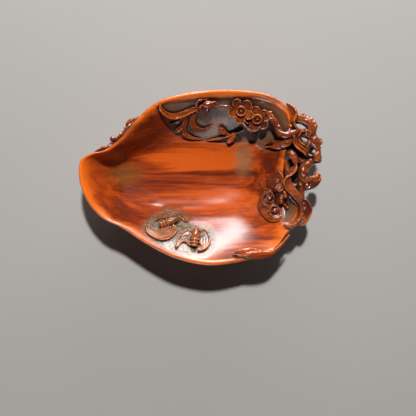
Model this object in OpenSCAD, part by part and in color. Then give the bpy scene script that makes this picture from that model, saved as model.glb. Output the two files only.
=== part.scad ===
// Carved wooden peach-shaped dish, lying on its foot with the opening up.
// The tip of the peach points to -X and the openwork branch end to +X.
// Origin: centre of the foot's flat base. +Z is up. All sizes are in millimetres.

/* [Bowl] */
// Stretch of the peach outline along its length
length_factor = 1; // [0.9:0.01:1.1]
// Stretch of the peach outline across its width
width_factor = 1; // [0.9:0.01:1.1]
// Average height of the rim above the table
rim_h = 33.5; // [28:0.5:40]
// How much the rim dips at the branch end and rises at the tip
rim_tilt = 3; // [0:0.5:4]
// How much the long sides stand above the ends
rim_bow = 2.5; // [0:0.5:4]
// Height of the floor inside
floor_z = 7; // [6:0.5:10]
// Length of the flat oval floor
floor_l = 80; // [70:1:84]
// Width of the flat oval floor
floor_w = 42; // [38:1:46]
// Width of the rounded lip, seen from above
lip_w = 3; // [2.5:0.25:4]
// Height of the lip's outer edge
lip_h = 3; // [2:0.5:4]

/* [Foot] */
// Height of the foot ring
foot_h = 2; // [1.5:0.5:3]
// Length of the foot ring
foot_l = 60; // [50:1:62]
// Width of the foot ring
foot_w = 34; // [28:1:36]
// Width of the foot ring's wall
foot_wall = 5; // [4:0.5:8]

/* [Carving] */
// Thickness factor of the carved twigs and branches
twig_k = 1; // [0.8:0.05:1.2]
// Radius of a blossom, over its petals
blossom_r = 8.6; // [7:0.2:10]
// Radius of a berry
berry_r = 2.1; // [1.5:0.1:2.6]
// How far blossoms stand above the wall
blossom_lift = 5; // [4:0.5:7]

/* [Hidden] */
SIDES = 8;
CENTRE = [6, 0];
FLOOR_X = -13;
CARVED = "sienna";
DARK = "saddlebrown";

// Peach outline seen from above, clockwise from the tip.
OUTLINE = [[-80.5, 1.5], [-79.5, 11.5], [-73, 16], [-63.5, 18.5], [-52.5, 26.5], [-44.5, 36],
    [-35, 45.5], [-23.5, 52], [-4.5, 56.5], [17.5, 58], [38.5, 56.5], [51, 52], [59, 44],
    [60.5, 34], [57.5, 20.5], [55, 4.5], [56.5, -6.5], [62.5, -13.5], [66, -21.5], [64, -29],
    [57.5, -36.5], [48, -48.5], [29, -54.5], [6, -57.5], [-16.5, -53], [-35, -44], [-52, -33],
    [-63.5, -27.5], [-72, -19.5], [-78, -9]];
STEPS = 4;

// A point of a smooth curve through b and c, with a and d beside them.
function spline(a, b, c, d, t) = 0.5 * (2 * b + (c - a) * t + (2 * a - 5 * b + 4 * c - d) * t * t
    + (3 * b - a - 3 * c + d) * t * t * t);
function turn(list, i) = list[(i + len(list)) % len(list)];
function unit(v) = v / max(norm(v), 1e-6);

// Rim stations around the bowl, from its centre: [x, y] each.
RIM = [for (i = [0 : len(OUTLINE) - 1], k = [0 : STEPS - 1])
    let (p = spline(turn(OUTLINE, i - 1), OUTLINE[i], turn(OUTLINE, i + 1), turn(OUTLINE, i + 2),
        k / STEPS))
    [p.x * length_factor - CENTRE.x, p.y * width_factor - CENTRE.y]];
RIM_POLAR = [for (p = RIM) [atan2(p.y, p.x), norm(p)]];

function rim_r(a) = lookup(a, RIM_POLAR);
function rim_z(a) = rim_h - rim_tilt * cos(a) - rim_bow * cos(2 * a);
// Distance from the centre to the edge of the oval floor, by direction.
function floor_r(a) = let (c = CENTRE.x - FLOOR_X, k = pow(2 / floor_l, 2), m = pow(2 / floor_w, 2),
    p = k * pow(cos(a), 2) + m * pow(sin(a), 2), q = k * c * cos(a), d = k * c * c - 1)
    (sqrt(q * q - p * d) - q) / p;
// Rise of the wall from the floor's edge (0) to the rim (1).
function rise(u) = u * u * (2.2 - 1.2 * u);
function rise_slope(u) = u * (4.4 - 3.6 * u);

// Height of the inner surface above a place on the table.
function inner_z(x, y) =
    let (a = atan2(y - CENTRE.y, x - CENTRE.x), f = floor_r(a),
        r = norm([x - CENTRE.x, y - CENTRE.y]),
        u = min(max((r - f) / (rim_r(a) - lip_w - f), 0), 1))
    floor_z + (rim_z(a) - floor_z) * rise(u);

// A place on the outer wall: direction, height share from 0 (foot) to 1 (rim), stand-off.
function outer_point(a, v, lift) =
    let (f = floor_r(a), run = rim_r(a) - f, top = rim_z(a) - lip_h - foot_h,
        n = unit([top * rise_slope(v), -run]), q = f + run * v + lift * n.x)
    [CENTRE.x + q * cos(a), CENTRE.y + q * sin(a), foot_h + top * rise(v) + lift * n.y];

// Routes: [x, y, height over the wall, half-width] inside, [angle, share, stand-off, half-width]
// outside, and [x, y, z, half-width] in the openwork.
function inside(route) = [for (p = route) [p.x, p.y, inner_z(p.x, p.y) + p.z, p[3]]];
function outside(route) = [for (p = route) concat(outer_point(p.x, p.y, p.z), [p[3]])];
function smooth(route, n = 3) = let (m = len(route) - 1)
    concat([for (i = [0 : m - 1], k = [0 : n - 1])
        spline(route[max(i - 1, 0)], route[i], route[i + 1], route[min(i + 2, m)], k / n)],
        [route[m]]);

// A limb swept along a route of [x, y, z, half-width]; flat is its height over its width.
module limb(route, flat = 1, n = 3) {
    path = smooth(route, n);
    last = len(path) - 1;
    at = [for (p = path) [p.x, p.y, p.z]];
    ways = [for (i = [0 : last]) unit(at[min(i + 1, last)] - at[max(i - 1, 0)])];
    sides = [for (w = ways) unit(cross(w, abs(w.z) > 0.9 ? [1, 0, 0] : [0, 0, 1]))];
    rings = [for (i = [0 : last], k = [0 : SIDES - 1])
        let (up = cross(sides[i], ways[i]), w = max(path[i][3], 0.15), a = 360 * k / SIDES)
        at[i] + sides[i] * w * cos(a) + up * w * flat * sin(a)];
    tail = at[0] - ways[0] * path[0][3] * 0.6;
    tip = at[last] + ways[last] * path[last][3] * 0.6;
    first_tip = len(rings);
    polyhedron(concat(rings, [tail, tip]), concat(
        [for (i = [0 : last - 1], k = [0 : SIDES - 1], half = [0, 1])
            let (a = i * SIDES + k, b = i * SIDES + (k + 1) % SIDES)
            half == 0 ? [a, b, b + SIDES] : [a, b + SIDES, a + SIDES]],
        [for (k = [0 : SIDES - 1]) [first_tip, (k + 1) % SIDES, k]],
        [for (k = [0 : SIDES - 1]) let (a = last * SIDES)
            [first_tip + 1, a + k, a + (k + 1) % SIDES]]));
}

// Joins its children into one closed skin.
module carved() {
    color(CARVED) resize([0, 0, 0]) union() children();
}

// A bead, squashed to flat times its height.
module bead(p, r, flat = 1) {
    translate([p.x, p.y, p.z]) scale([1, 1, flat]) sphere(r, $fn = 10);
}

// A bead seated on the inner wall.
module wall_bead(x, y, lift, r, flat = 1) {
    bead([x, y, inner_z(x, y) + lift], r, flat);
}

// A spiral scroll: centre, outer radius, starting direction, turns, and which way it winds.
module scroll(c, r, start = 0, turns = 1.4, way = 1) {
    limb([for (i = [0 : 8]) let (t = i / 8, q = r * (1 - 0.72 * t), a = start + way * 360 * turns * t)
        [c.x + q * cos(a), c.y + q * sin(a), c.z + 1.2 * t, r * (0.3 - 0.08 * t)]], 1, 2);
}

// A five-petalled blossom on its stump, tilted like the wall below it.
module blossom(x, y, start) {
    z = inner_z(x, y) + blossom_lift;
    petal_r = blossom_r * 0.4;
    translate([x, y, z]) rotate([blossom_tilt(y), 0, 0]) {
        translate([0, 0, -1]) linear_extrude(height = 2.8)
            for (k = [0 : 4]) rotate(start + 72 * k) translate([blossom_r - petal_r, 0])
                circle(petal_r, $fn = 24);
        translate([0, 0, -6]) cylinder(h = 7, r1 = 3.5, r2 = blossom_r - petal_r, $fn = 32);
        translate([0, 0, 1]) sphere(2.4, $fn = 24);
    }
}
function blossom_tilt(y) = y > 0 ? 18 : -18;

// Scalloped shelf-fungus head: outline centre, size and turn, with a scroll on it.
module fungus(lobes, scrolls) {
    for (p = lobes) bead(p, p[3], 0.5);
    for (s = scrolls) scroll([s[0], s[1], s[2]], s[3], s[4]);
}

module dish_bowl() {
    wall = [0.18, 0.36, 0.52, 0.68, 0.84, 1];
    lip = [[-0.75, 0.6], [-0.42, 0.75], [-0.12, 0.2], [0, -1.2]];
    // Profile of one station: [distance, height] from the floor's middle over the lip to the base.
    function profile(a, r) = let (f = floor_r(a), top = rim_z(a), inner = r - lip_w - f)
        concat([for (u = [0.5, 1]) [f * u, floor_z]],
            [for (u = wall) [f + inner * u, floor_z + (top - floor_z) * rise(u)]],
            [for (p = lip) [r + lip_w * p.x, top + p.y]],
            [for (i = [len(wall) - 1 : -1 : 0]) let (v = wall[i])
                [f + (r - f - 0.4) * v, foot_h + (top - lip_h - foot_h) * rise(v)]],
            [for (u = [1, 0.5]) [f * u, foot_h]]);
    stations = len(RIM);
    sections = [for (p = RIM) profile(atan2(p.y, p.x), norm(p))];
    rows = len(sections[0]);
    skin = [for (s = [0 : stations - 1], q = sections[s])
        let (d = unit(RIM[s])) [CENTRE.x + d.x * q[0], CENTRE.y + d.y * q[0], q[1]]];
    middle = [[CENTRE.x, CENTRE.y, floor_z], [CENTRE.x, CENTRE.y, foot_h]];
    top_i = len(skin);
    color(DARK) polyhedron(concat(skin, middle), concat(
        [for (s = [0 : stations - 1], k = [0 : rows - 2], half = [0, 1])
            let (a = s * rows + k, b = ((s + 1) % stations) * rows + k)
            half == 0 ? [a, b, b + 1] : [a, b + 1, a + 1]],
        [for (s = [0 : stations - 1]) [top_i, ((s + 1) % stations) * rows, s * rows]],
        [for (s = [0 : stations - 1])
            [top_i + 1, s * rows + rows - 1, ((s + 1) % stations) * rows + rows - 1]]));
}

// Oval slab with round ends.
module oval(l, w, h) {
    for (side = [-1, 1]) translate([side * (l - w) / 2, 0, 0]) cylinder(h = h, d = w, $fn = 64);
    translate([-(l - w) / 2, -w / 2, 0]) cube([l - w, w, h]);
}

module foot_ring() {
    color(DARK) difference() {
        oval(foot_l, foot_w, foot_h);
        translate([0, 0, -1]) oval(foot_l - 2 * foot_wall, foot_w - 2 * foot_wall, foot_h + 2);
    }
}

module rim_leaf_fold() {
    carved() {
        limb([[20.6, -50.6, 34.6, 1], [24.4, -49.2, 35.4, 2], [30, -48.8, 35.6, 2.6], [36, -49.2, 35.2, 2.8],
            [42, -49.8, 34.6, 2.2], [48.4, -48, 33.8, 1.6], [54.8, -42.2, 32.8, 1], [58.2, -37.4, 32.2, 0.8]], 0.8);
        limb([[26, -51.4, 34.4, 1.2], [33, -51.6, 34.8, 1.7], [41, -51, 34, 1.4], [47.6, -49.4, 33, 1]]);
    }
}

module long_leaf() {
    carved() {
        limb(inside([[-26, 46, 1, 0.6], [-25, 43, 1.2, 1.2], [-21, 41, 1.6, 1.6], [-14.5, 41, 2, 2],
            [-8, 43, 2.2, 2], [-2, 45.5, 2.4, 1.6], [5, 47, 2.4, 1.2]]), 0.8);
        limb(inside([[-26, 46, 1, 0.6], [-21, 43, 1.4, 1], [-12, 44.5, 1.6, 1.2], [-4, 47, 2, 1]]));
    }
}

module blade_leaf() {
    carved() limb(inside([[-21.5, 35, 0.6, 0.4], [-16.5, 37, 1, 1.3], [-11, 40, 1, 1], [-7, 42, 1, 0.8]]), 0.8);
}

module blade_leaf_tip() {
    carved() limb(inside([[-19, 31.5, 0.4, 0.4], [-16, 34, 0.8, 1.1], [-12, 37, 0.8, 0.8]]), 0.8);
}

module crescent_leaf_outer() {
    carved() limb(inside([[-6, 42, 1.4, 1], [-11.5, 38, 1.4, 1.4], [-13, 33.5, 1.4, 1.7],
        [-10.5, 30, 1.4, 1.6], [-6, 28.5, 1, 1.2], [-2, 28.5, 0.6, 0.5]]), 0.8);
}

module crescent_leaf_inner() {
    carved() limb(inside([[-2.5, 43.5, 1.6, 1], [-6, 39.5, 1.4, 1.3], [-6, 35.5, 1.4, 1.6],
        [-2.5, 33.5, 1.4, 1.6], [2, 34, 1, 1.2], [6.5, 36, 0.6, 0.5]]), 0.8);
}

module rosebud() {
    carved() {
        wall_bead(3.5, 47.5, 2.4, 3.2);
        for (p = [[-2, 48], [-0.5, 44.5], [4, 43.5], [1, 50.5], [7, 50]])
            limb(inside([[3.5, 47.5, 1.4, 1.8], [p.x, p.y, 1.4, 0.7]]), 0.9, 2);
    }
}

module blossom_twig() {
    carved() limb(inside([[6, 47.5, 2, 1.4 * twig_k], [11, 47, 2.4, 1.3 * twig_k],
        [16, 46.5, 2.4, 1.4 * twig_k], [22, 45.5, 2.4, 1.6 * twig_k]]));
}

module blossom_left() {
    color(CARVED) blossom(26.5, 44, 47);
}

module blossom_right() {
    color(CARVED) blossom(37.2, 39, 33);
}

module blossom_stalk() {
    carved() {
        limb(inside([[26, 42, 1, 2.5], [31, 37, 1.4, 3], [35, 30, 0.8, 2.2], [33.5, 26.5, 0.4, 1]]));
        limb(inside([[33, 35, 1, 2], [42, 36, 2, 2.4], [48, 38, 2, 2]]));
    }
}

module small_bud() {
    carved() {
        wall_bead(13, 34, 1.4, 2.4);
        limb(inside([[13, 34, 1, 1.2], [17, 32, 0.8, 0.8], [21, 30.5, 0.8, 0.8]]));
    }
}

module lower_twig() {
    carved() limb(inside([[4, 27, 0.4, 0.5], [13, 29.5, 0.9, 0.9 * twig_k], [20, 30.5, 1, 1.1 * twig_k],
        [25, 31.5, 1.2, 1.3 * twig_k], [31, 34, 1.4, 1.5 * twig_k]]));
}

module teardrop_bud() {
    carved() limb(inside([[25, 31, 0.8, 0.8], [22, 29, 1, 1.6], [19.5, 27, 1, 2], [17.5, 25.5, 0.6, 0.8]]));
}

module main_branch() {
    carved() {
        limb(inside([[43, 39, 3, 1.8 * twig_k], [46.4, 40, 3.4, 2 * twig_k], [49.4, 36, 3.6, 2.1 * twig_k],
            [50.8, 32.6, 3.6, 2.2 * twig_k], [53, 29.2, 3.4, 2.3 * twig_k], [56.4, 28.4, 3.2, 2.3 * twig_k],
            [60, 29.6, 2.4, 2.2 * twig_k], [63.6, 31, 1, 1.8 * twig_k]]));
        limb(inside([[46, 38.5, 3, 1.6], [45.8, 42.2, 3.4, 1.8]]), 1, 2);
        limb(inside([[57, 29.2, 3, 1.4], [58.6, 33.6, 2.6, 0.9]]), 1, 2);
    }
}

module forked_leaf() {
    carved() {
        limb(inside([[62, 26.8, 1.4, 1.3], [59, 24.6, 1.8, 2], [55, 23.2, 1.8, 2.1], [48, 23.8, 1.4, 1.5],
            [42.6, 23, 0.5, 0.4]]), 0.7);
        limb(inside([[59, 23.6, 1.6, 1.6], [55, 21.2, 1.8, 1.9], [49, 20.6, 1.2, 1.5],
            [43, 21.4, 0.5, 0.4]]), 0.7);
    }
}

module edge_leaf() {
    carved() {
        limb([[56.4, 49.4, 32.8, 0.7], [59, 46.8, 33.2, 1.5], [60.6, 43.6, 33.2, 2], [60.8, 40.6, 33, 1.9],
            [60.4, 37.6, 32.8, 1.6], [60.9, 34.6, 32.4, 1.5], [62.6, 32.4, 32, 1.4], [67.6, 30.6, 31.4, 1.2]]);
        limb([[60.2, 47, 34, 0.7], [62.3, 44, 34.4, 0.8], [62.3, 41, 34.2, 0.8], [61.3, 37.8, 33.8, 0.8]]);
    }
}

module ring_branch() {
    carved() {
        limb([[61.5, 38.4, 30, 2.4 * twig_k], [64.2, 38.7, 30.6, 2.9 * twig_k], [67.6, 38.5, 31.2, 3 * twig_k],
            [70.8, 37, 31.6, 3 * twig_k], [73, 34.4, 31.6, 3 * twig_k], [73.6, 31.4, 31, 2.8 * twig_k],
            [73.2, 28.4, 30.4, 2.6 * twig_k]]);
        limb([[72.4, 31.6, 31, 1.8], [70, 31.4, 31.4, 1.5], [67, 31.2, 31.4, 1]]);
        for (p = [[64.7, 40.6, 32.6], [67.4, 41, 32.4], [72.6, 38.2, 33.2], [75.2, 34.2, 33.2],
            [69.6, 29.2, 31.6]]) bead(p, 1.6);
    }
}

module gnarled_trunk() {
    carved() {
        limb([[59, 33, 26, 2.8], [64.6, 30.4, 27.6, 2.6], [70, 29.2, 28.6, 2.6], [74, 27, 29.6, 3 * twig_k],
            [75.4, 23.8, 29.6, 3.4 * twig_k], [76.9, 20.8, 29.4, 2.4 * twig_k],
            [77.8, 18.2, 29.2, 1.8 * twig_k], [77.5, 15.6, 29, 2.5 * twig_k],
            [77.3, 13.2, 28.6, 2.9 * twig_k], [78.2, 10.9, 27.6, 1.6 * twig_k]]);
        limb([[74.6, 24.8, 29.4, 2.4], [71.8, 23.2, 29.6, 2.1], [70.4, 21.2, 29, 1.6], [69.6, 17.4, 27.6, 1.5]]);
        limb([[77, 13.4, 26.6, 2], [72, 15.4, 25, 2.8], [66.4, 17, 24.2, 3], [60.6, 18.2, 23.6, 3],
            [56, 19, 22.6, 2.8]]);
        for (p = [[78.8, 23.6, 30], [71.6, 23, 31], [75, 25, 31.4]]) bead(p, 1.7);
    }
}

module loop_leaf() {
    carved() {
        limb([[65.8, 31, 31.2, 0.9], [63.2, 29.4, 31.6, 1.5], [62.8, 26.6, 31.8, 1.8], [63.2, 23.8, 31.8, 2],
            [64.8, 21.6, 31.4, 2.1], [67, 19.8, 30.8, 2], [69.4, 17.6, 30, 1.6], [70.6, 15.4, 29, 1]], 0.8);
        limb([[62.2, 29.6, 32.4, 0.7], [61.3, 27, 32.8, 0.8], [61.2, 24, 32.8, 0.8], [62.7, 21.3, 32.5, 0.8],
            [65, 18.9, 31.9, 0.8], [68, 17.1, 30.8, 0.7]]);
    }
}

module rim_vine() {
    carved() {
        limb([[57.4, 17, 28.6, 1.8], [59.6, 16.2, 29.6, 2.6], [61.4, 13.8, 30.4, 2.6], [62.2, 10.6, 31, 1.6],
            [62.6, 7.6, 31.2, 1.5], [61.6, 4.6, 31.2, 1.8], [58.4, 2, 31.2, 1.9], [55.8, -1.6, 31.2, 1.6],
            [56.4, -4.6, 31.2, 2.2], [59.2, -8, 31, 2.6], [62.4, -11.4, 31, 2.8], [65, -15.4, 31, 2.2],
            [65.9, -19, 31, 1.7], [66.1, -22.4, 31, 1.5], [65.4, -26, 31.2, 1.5], [63.4, -29.2, 31.6, 1.6],
            [60.3, -31.6, 32, 1.6], [57.2, -31.6, 31.6, 1.4], [54.8, -30.2, 30.8, 0.8]]);
        limb([[55.6, -32.6, 30.2, 1.6], [60, -31.4, 29.4, 2], [64.4, -26, 28.8, 2], [65.2, -19, 28.8, 2],
            [60, -12.4, 28.4, 2.4], [56, -6.4, 28.2, 2.6], [56, 0, 27.8, 2.4]]);
    }
}

module middle_trunk() {
    carved() {
        limb([[77, 11.6, 26, 1.8 * twig_k], [74.2, 10.8, 27, 2.2 * twig_k], [71.2, 9.8, 27.4, 2.8 * twig_k],
            [68.6, 7.4, 27, 3.2 * twig_k], [67.8, 4, 26.8, 3.5 * twig_k], [68, 0.8, 26.6, 3.3 * twig_k],
            [70.4, -1, 26.8, 2.6 * twig_k], [74, -0.4, 27.2, 2.2 * twig_k], [77, 0.8, 27.4, 1.8 * twig_k]]);
        limb([[70.8, 9.8, 26.8, 2.4], [66, 12.4, 26.8, 2], [61.6, 14, 27.6, 1.8]]);
        limb([[68, 2, 26, 2.8], [67, -4, 25.8, 2.8], [66.6, -9, 26, 2.4], [67.6, -14, 26, 2],
            [69, -20, 25.4, 2]]);
        limb([[69, 6, 24.4, 3], [63, 3, 23.6, 3], [56, -0.5, 22.4, 3]]);
        limb([[66.6, -5, 24.6, 2.8], [61, -6.6, 24.2, 2.8], [55, -8, 23.6, 2.6]]);
    }
}

module fungus_outer() {
    carved() fungus([[77, 0.6, 26.5, 3.4], [75.6, -3.2, 26.2, 3.4], [72, -5.4, 26, 2.8]],
        [[77.2, 1, 28, 2.8, 90], [70.9, -4.9, 27.4, 2.1, 200]]);
}

module fungus_upper() {
    carved() fungus(inside([[50.8, 1.4, 1, 3.9], [48.4, -2.4, 1, 4], [51.4, -5.8, 1, 3.7], [52.8, -1.6, 1, 3]]),
        [for (s = [[52.2, -6.6, 2.2, 150], [50.9, -1.6, 2, 20]]) let (z = inner_z(s[0], s[1]) + 3)
            [s[0], s[1], z, s[2], s[3]]]);
}

module fungus_lower() {
    carved() fungus(inside([[44.6, -10.6, 1, 4.3], [43.2, -16, 1, 4.3], [44.4, -21.4, 1, 4.9],
        [49, -23.6, 1, 4.9], [46.6, -15, 1, 3]]),
        [for (s = [[46.2, -13.4, 3.4, 60], [49.4, -22.2, 4.2, 240]]) let (z = inner_z(s[0], s[1]) + 3.2)
            [s[0], s[1], z, s[2], s[3]]]);
}

module berries() {
    color(CARVED) for (p = [[55.8, -10.6, 29.6], [53.6, -15.2, 27.4], [57.5, -19.5, 28.2]])
        translate(p) sphere(berry_r, $fn = 20);
}

module fungus_end() {
    carved() fungus([[69, -17.2, 25.5, 3.6], [70.6, -21.4, 25.5, 3.4], [69.2, -26, 25.5, 3.6],
        [67.4, -29.2, 25.6, 2.4], [66.6, -22, 25, 3.2]], [[68.3, -17.2, 27, 2, 30], [67.6, -27.6, 27, 2.1, 250]]);
}

// A bat: body route, then wing ridges, all seated on the wall.
module bat(body, wings) {
    carved() {
        limb(inside(body), 0.8);
        for (w = wings) limb(inside(w), 0.6);
    }
}

module bat_left() {
    bat([[-28.2, -31.6, 1.2, 1.4], [-25, -30.4, 1.8, 2.6], [-20.4, -28.6, 1.8, 2.7], [-16, -26.8, 1.4, 1.4]],
        [[[-30.2, -27.6, 0.5, 0.5], [-28.6, -25.6, 0.7, 1.1], [-23.6, -24, 0.8, 1.7], [-16.8, -24, 0.7, 1.3],
            [-10.6, -28.6, 0.5, 0.5]],
        [[-36, -31.6, 0.5, 0.5], [-34.2, -35.6, 0.7, 1.3], [-28.4, -38.4, 0.8, 2], [-21.4, -37, 0.8, 2],
            [-18, -33, 0.6, 1]]]);
}

module bat_right() {
    bat([[-3.2, -33.4, 1.2, 1.3], [-3.6, -37, 1.8, 2.6], [-4.4, -42, 1.8, 2.5], [-4.8, -45.6, 1.2, 1.2]],
        [[[-7, -36, 0.6, 0.9], [-11, -37.6, 0.8, 1.9], [-14.2, -41, 0.8, 1.5], [-15.6, -45.4, 0.5, 0.5]],
        [[-0.6, -36, 0.6, 0.8], [2.8, -37.4, 0.8, 1.7], [4.4, -41, 0.8, 1.6], [2, -45.8, 0.6, 0.8],
            [-1.8, -47.2, 0.4, 0.4]]]);
}

module side_twig() {
    carved() limb(concat([[-74, 14.8, 27, 0.7], [-69, 18.9, 27, 1], [-64.5, 20.8, 27, 1.4],
        [-58, 25, 26, 1.5], [-52.5, 30.6, 26, 1.5], [-47.2, 37.2, 25.6, 1.5], [-43.6, 40.6, 24, 1.7]],
        outside([[128, 0.84, 1.4, 1.8], [120, 0.8, 1.4, 1.8]])));
}

module side_beads() {
    color(CARVED) for (p = [[-65.6, 21.2, 27.6], [-58.9, 26.7, 27.2], [-53.4, 30.2, 27.6]])
        translate(p) sphere(berry_r * 0.9, $fn = 20);
}

module serrated_leaf() {
    carved() {
        limb(outside([[-33, 0.95, 0.6, 0.8], [-37, 0.94, 1.4, 2.2], [-42, 0.93, 1.6, 3],
            [-48, 0.93, 1.4, 2.6], [-54, 0.92, 1, 1.2], [-58, 0.9, 0.6, 0.4]]), 0.5);
        for (a = [-38 : -5 : -53]) bead(outer_point(a, 0.98, 1.2), 1.4);
    }
}

module back_branch() {
    carved() {
        limb(outside([[28, 0.9, 1, 3], [40, 0.75, 1.4, 2.8], [55, 0.6, 1.4, 2.6], [72, 0.55, 1.4, 2.4],
            [90, 0.6, 1.4, 2.2], [105, 0.7, 1.4, 2], [120, 0.8, 1.4, 1.8]]), 0.8);
        limb(outside([[72, 0.55, 1.2, 1.8], [80, 0.42, 1, 1.4], [92, 0.36, 0.8, 0.8]]), 0.8);
    }
}

module back_leaves() {
    carved() for (p = [[50, 0.6, 58, 0.82], [84, 0.58, 78, 0.84], [100, 0.68, 112, 0.5]])
        limb(outside([[p[0], p[1], 0.6, 1], [(2 * p[0] + p[2]) / 3, (2 * p[1] + p[3]) / 3, 1, 3],
            [(p[0] + 2 * p[2]) / 3, (p[1] + 2 * p[3]) / 3, 1, 2.8], [p[2], p[3], 0.4, 0.4]]), 0.5);
}

module front_branch() {
    carved() limb(outside([[-24, 0.9, 1, 2.6], [-34, 0.75, 1.4, 2.4], [-50, 0.6, 1.4, 2.2],
        [-70, 0.55, 1.4, 1.8], [-90, 0.62, 1.2, 1.4], [-102, 0.72, 0.8, 0.8]]), 0.8);
}

module front_leaves() {
    carved() for (p = [[-46, 0.62, -56, 0.82], [-74, 0.55, -84, 0.4], [-88, 0.62, -80, 0.82]])
        limb(outside([[p[0], p[1], 0.6, 1], [(2 * p[0] + p[2]) / 3, (2 * p[1] + p[3]) / 3, 1, 2.8],
            [(p[0] + 2 * p[2]) / 3, (p[1] + 2 * p[3]) / 3, 1, 2.6], [p[2], p[3], 0.4, 0.4]]), 0.5);
}

module back_buds() {
    color(CARVED) for (p = [[93, 0.37, 1.4], [121, 0.85, 2], [66, 0.7, 1.4], [-103, 0.74, 1.4]])
        translate(outer_point(p.x, p.y, p.z)) sphere(berry_r * 1.1, $fn = 20);
}

dish_bowl();
foot_ring();
rim_leaf_fold();
long_leaf();
blade_leaf();
blade_leaf_tip();
crescent_leaf_outer();
crescent_leaf_inner();
rosebud();
blossom_twig();
blossom_left();
blossom_right();
blossom_stalk();
small_bud();
lower_twig();
teardrop_bud();
main_branch();
forked_leaf();
edge_leaf();
ring_branch();
gnarled_trunk();
loop_leaf();
rim_vine();
middle_trunk();
fungus_outer();
fungus_upper();
fungus_lower();
berries();
fungus_end();
bat_left();
bat_right();
side_twig();
side_beads();
serrated_leaf();
back_branch();
back_leaves();
front_branch();
front_leaves();
back_buds();
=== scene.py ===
"""Finishes the carved peach-shaped dish: the bowl, its leaves, flowers, bats, fungus heads and openwork."""

import math

import bmesh
import bpy
import numpy as np
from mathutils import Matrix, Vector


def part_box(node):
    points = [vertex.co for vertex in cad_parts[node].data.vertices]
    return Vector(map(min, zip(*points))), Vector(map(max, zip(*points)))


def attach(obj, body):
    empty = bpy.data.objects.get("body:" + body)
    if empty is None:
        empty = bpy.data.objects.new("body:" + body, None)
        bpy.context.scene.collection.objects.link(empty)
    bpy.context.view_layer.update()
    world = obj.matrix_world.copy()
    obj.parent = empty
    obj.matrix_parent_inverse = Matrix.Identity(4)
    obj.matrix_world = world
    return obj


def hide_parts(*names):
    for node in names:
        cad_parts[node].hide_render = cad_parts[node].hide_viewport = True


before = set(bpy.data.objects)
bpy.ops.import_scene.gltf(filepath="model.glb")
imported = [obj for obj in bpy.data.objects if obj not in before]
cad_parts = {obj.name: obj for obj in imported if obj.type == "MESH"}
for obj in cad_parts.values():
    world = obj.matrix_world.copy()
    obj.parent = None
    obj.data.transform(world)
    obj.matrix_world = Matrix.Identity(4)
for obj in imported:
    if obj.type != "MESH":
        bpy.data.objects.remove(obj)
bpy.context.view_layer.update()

bl_info = {
    "name": "Carved Peach Dish",
    "version": (1, 0, 0),
    "blender": (4, 5, 0),
    "location": "View3D > Sidebar > Carving",
    "description": "Carves a waxed wooden dish shaped like a half peach, with flowers, leaves and bats",
    "category": "Object",
}

MM = 0.001

# The bowl's plan, in millimetres, clockwise from the tip of the peach.
OUTLINE = [
    (-80.5, 1.5), (-79.5, 11.5), (-73, 16), (-63.5, 18.5), (-52.5, 26.5), (-44.5, 36), (-35, 45.5),
    (-23.5, 52), (-4.5, 56.5), (17.5, 58), (38.5, 56.5), (51, 52), (59, 44), (60.5, 34), (57.5, 20.5),
    (55, 4.5), (56.5, -6.5), (62.5, -13.5), (66, -21.5), (64, -29), (57.5, -36.5), (48, -48.5),
    (29, -54.5), (6, -57.5), (-16.5, -53), (-35, -44), (-52, -33), (-63.5, -27.5), (-72, -19.5),
    (-78, -9),
]
CENTRE = (6.0, 0.0)

# The floor: an oval, dished a little towards its middle.
FLOOR_X = -13.0
FLOOR_LENGTH = 80.0
FLOOR_WIDTH = 42.0
FLOOR_THICKNESS = 5.0
DISHING = 1.2

# The rim: its mean height, its fall towards the branch end, how far its sides rise, and the lip's depth.
RIM_HEIGHT = 33.5
RIM_TILT = 3.0
RIM_BOW = 2.5
LIP_DROP = 3.0

# Share of the wall on the bats' side over which it turns up from the floor; above that it is even.
FRONT_EASE = 0.15

# The inner wall is rubbed smooth in turns: all of it at first, then only its foot.
RUB_ALL = 60
RUB_TURNS = 420

# How far hand carving shifts a surface.
KNIFE_SHIFT = 0.03

# The thinnest half-width that a limb tapers to.
THIN_END = 0.12

# Where the camera is, in millimetres over the table, looking straight down.
EYE = (4.6, -19.8, 515)
FOCAL_LENGTH = 63.3

TREES = {}
MATERIALS = {}


# ---------------------------------------------------------------- the shape of the bowl


def spline(points, steps, closed=False):
    """Points of a smooth curve through the given ones, each with all its columns."""
    points = np.asarray(points, float)
    count = len(points)
    spans = count if closed else count - 1
    t = np.arange(steps)[:, None] / steps
    made = []
    for i in range(spans):
        if closed:
            a, b, c, d = (points[(i + k) % count] for k in (-1, 0, 1, 2))
        else:
            a, b, c, d = (points[min(max(i + k, 0), count - 1)] for k in (-1, 0, 1, 2))
        made.append(0.5 * (2 * b + (c - a) * t + (2 * a - 5 * b + 4 * c - d) * t**2
                           + (3 * b - a - 3 * c + d) * t**3))
    if not closed:
        made.append(points[-1:])
    return np.concatenate(made)


def smoothstep(value, low, high):
    """Eases from 0 to 1 as the value goes from low to high."""
    t = np.clip((np.asarray(value, float) - low) / (high - low), 0, 1)
    return t * t * (3 - 2 * t)


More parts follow.
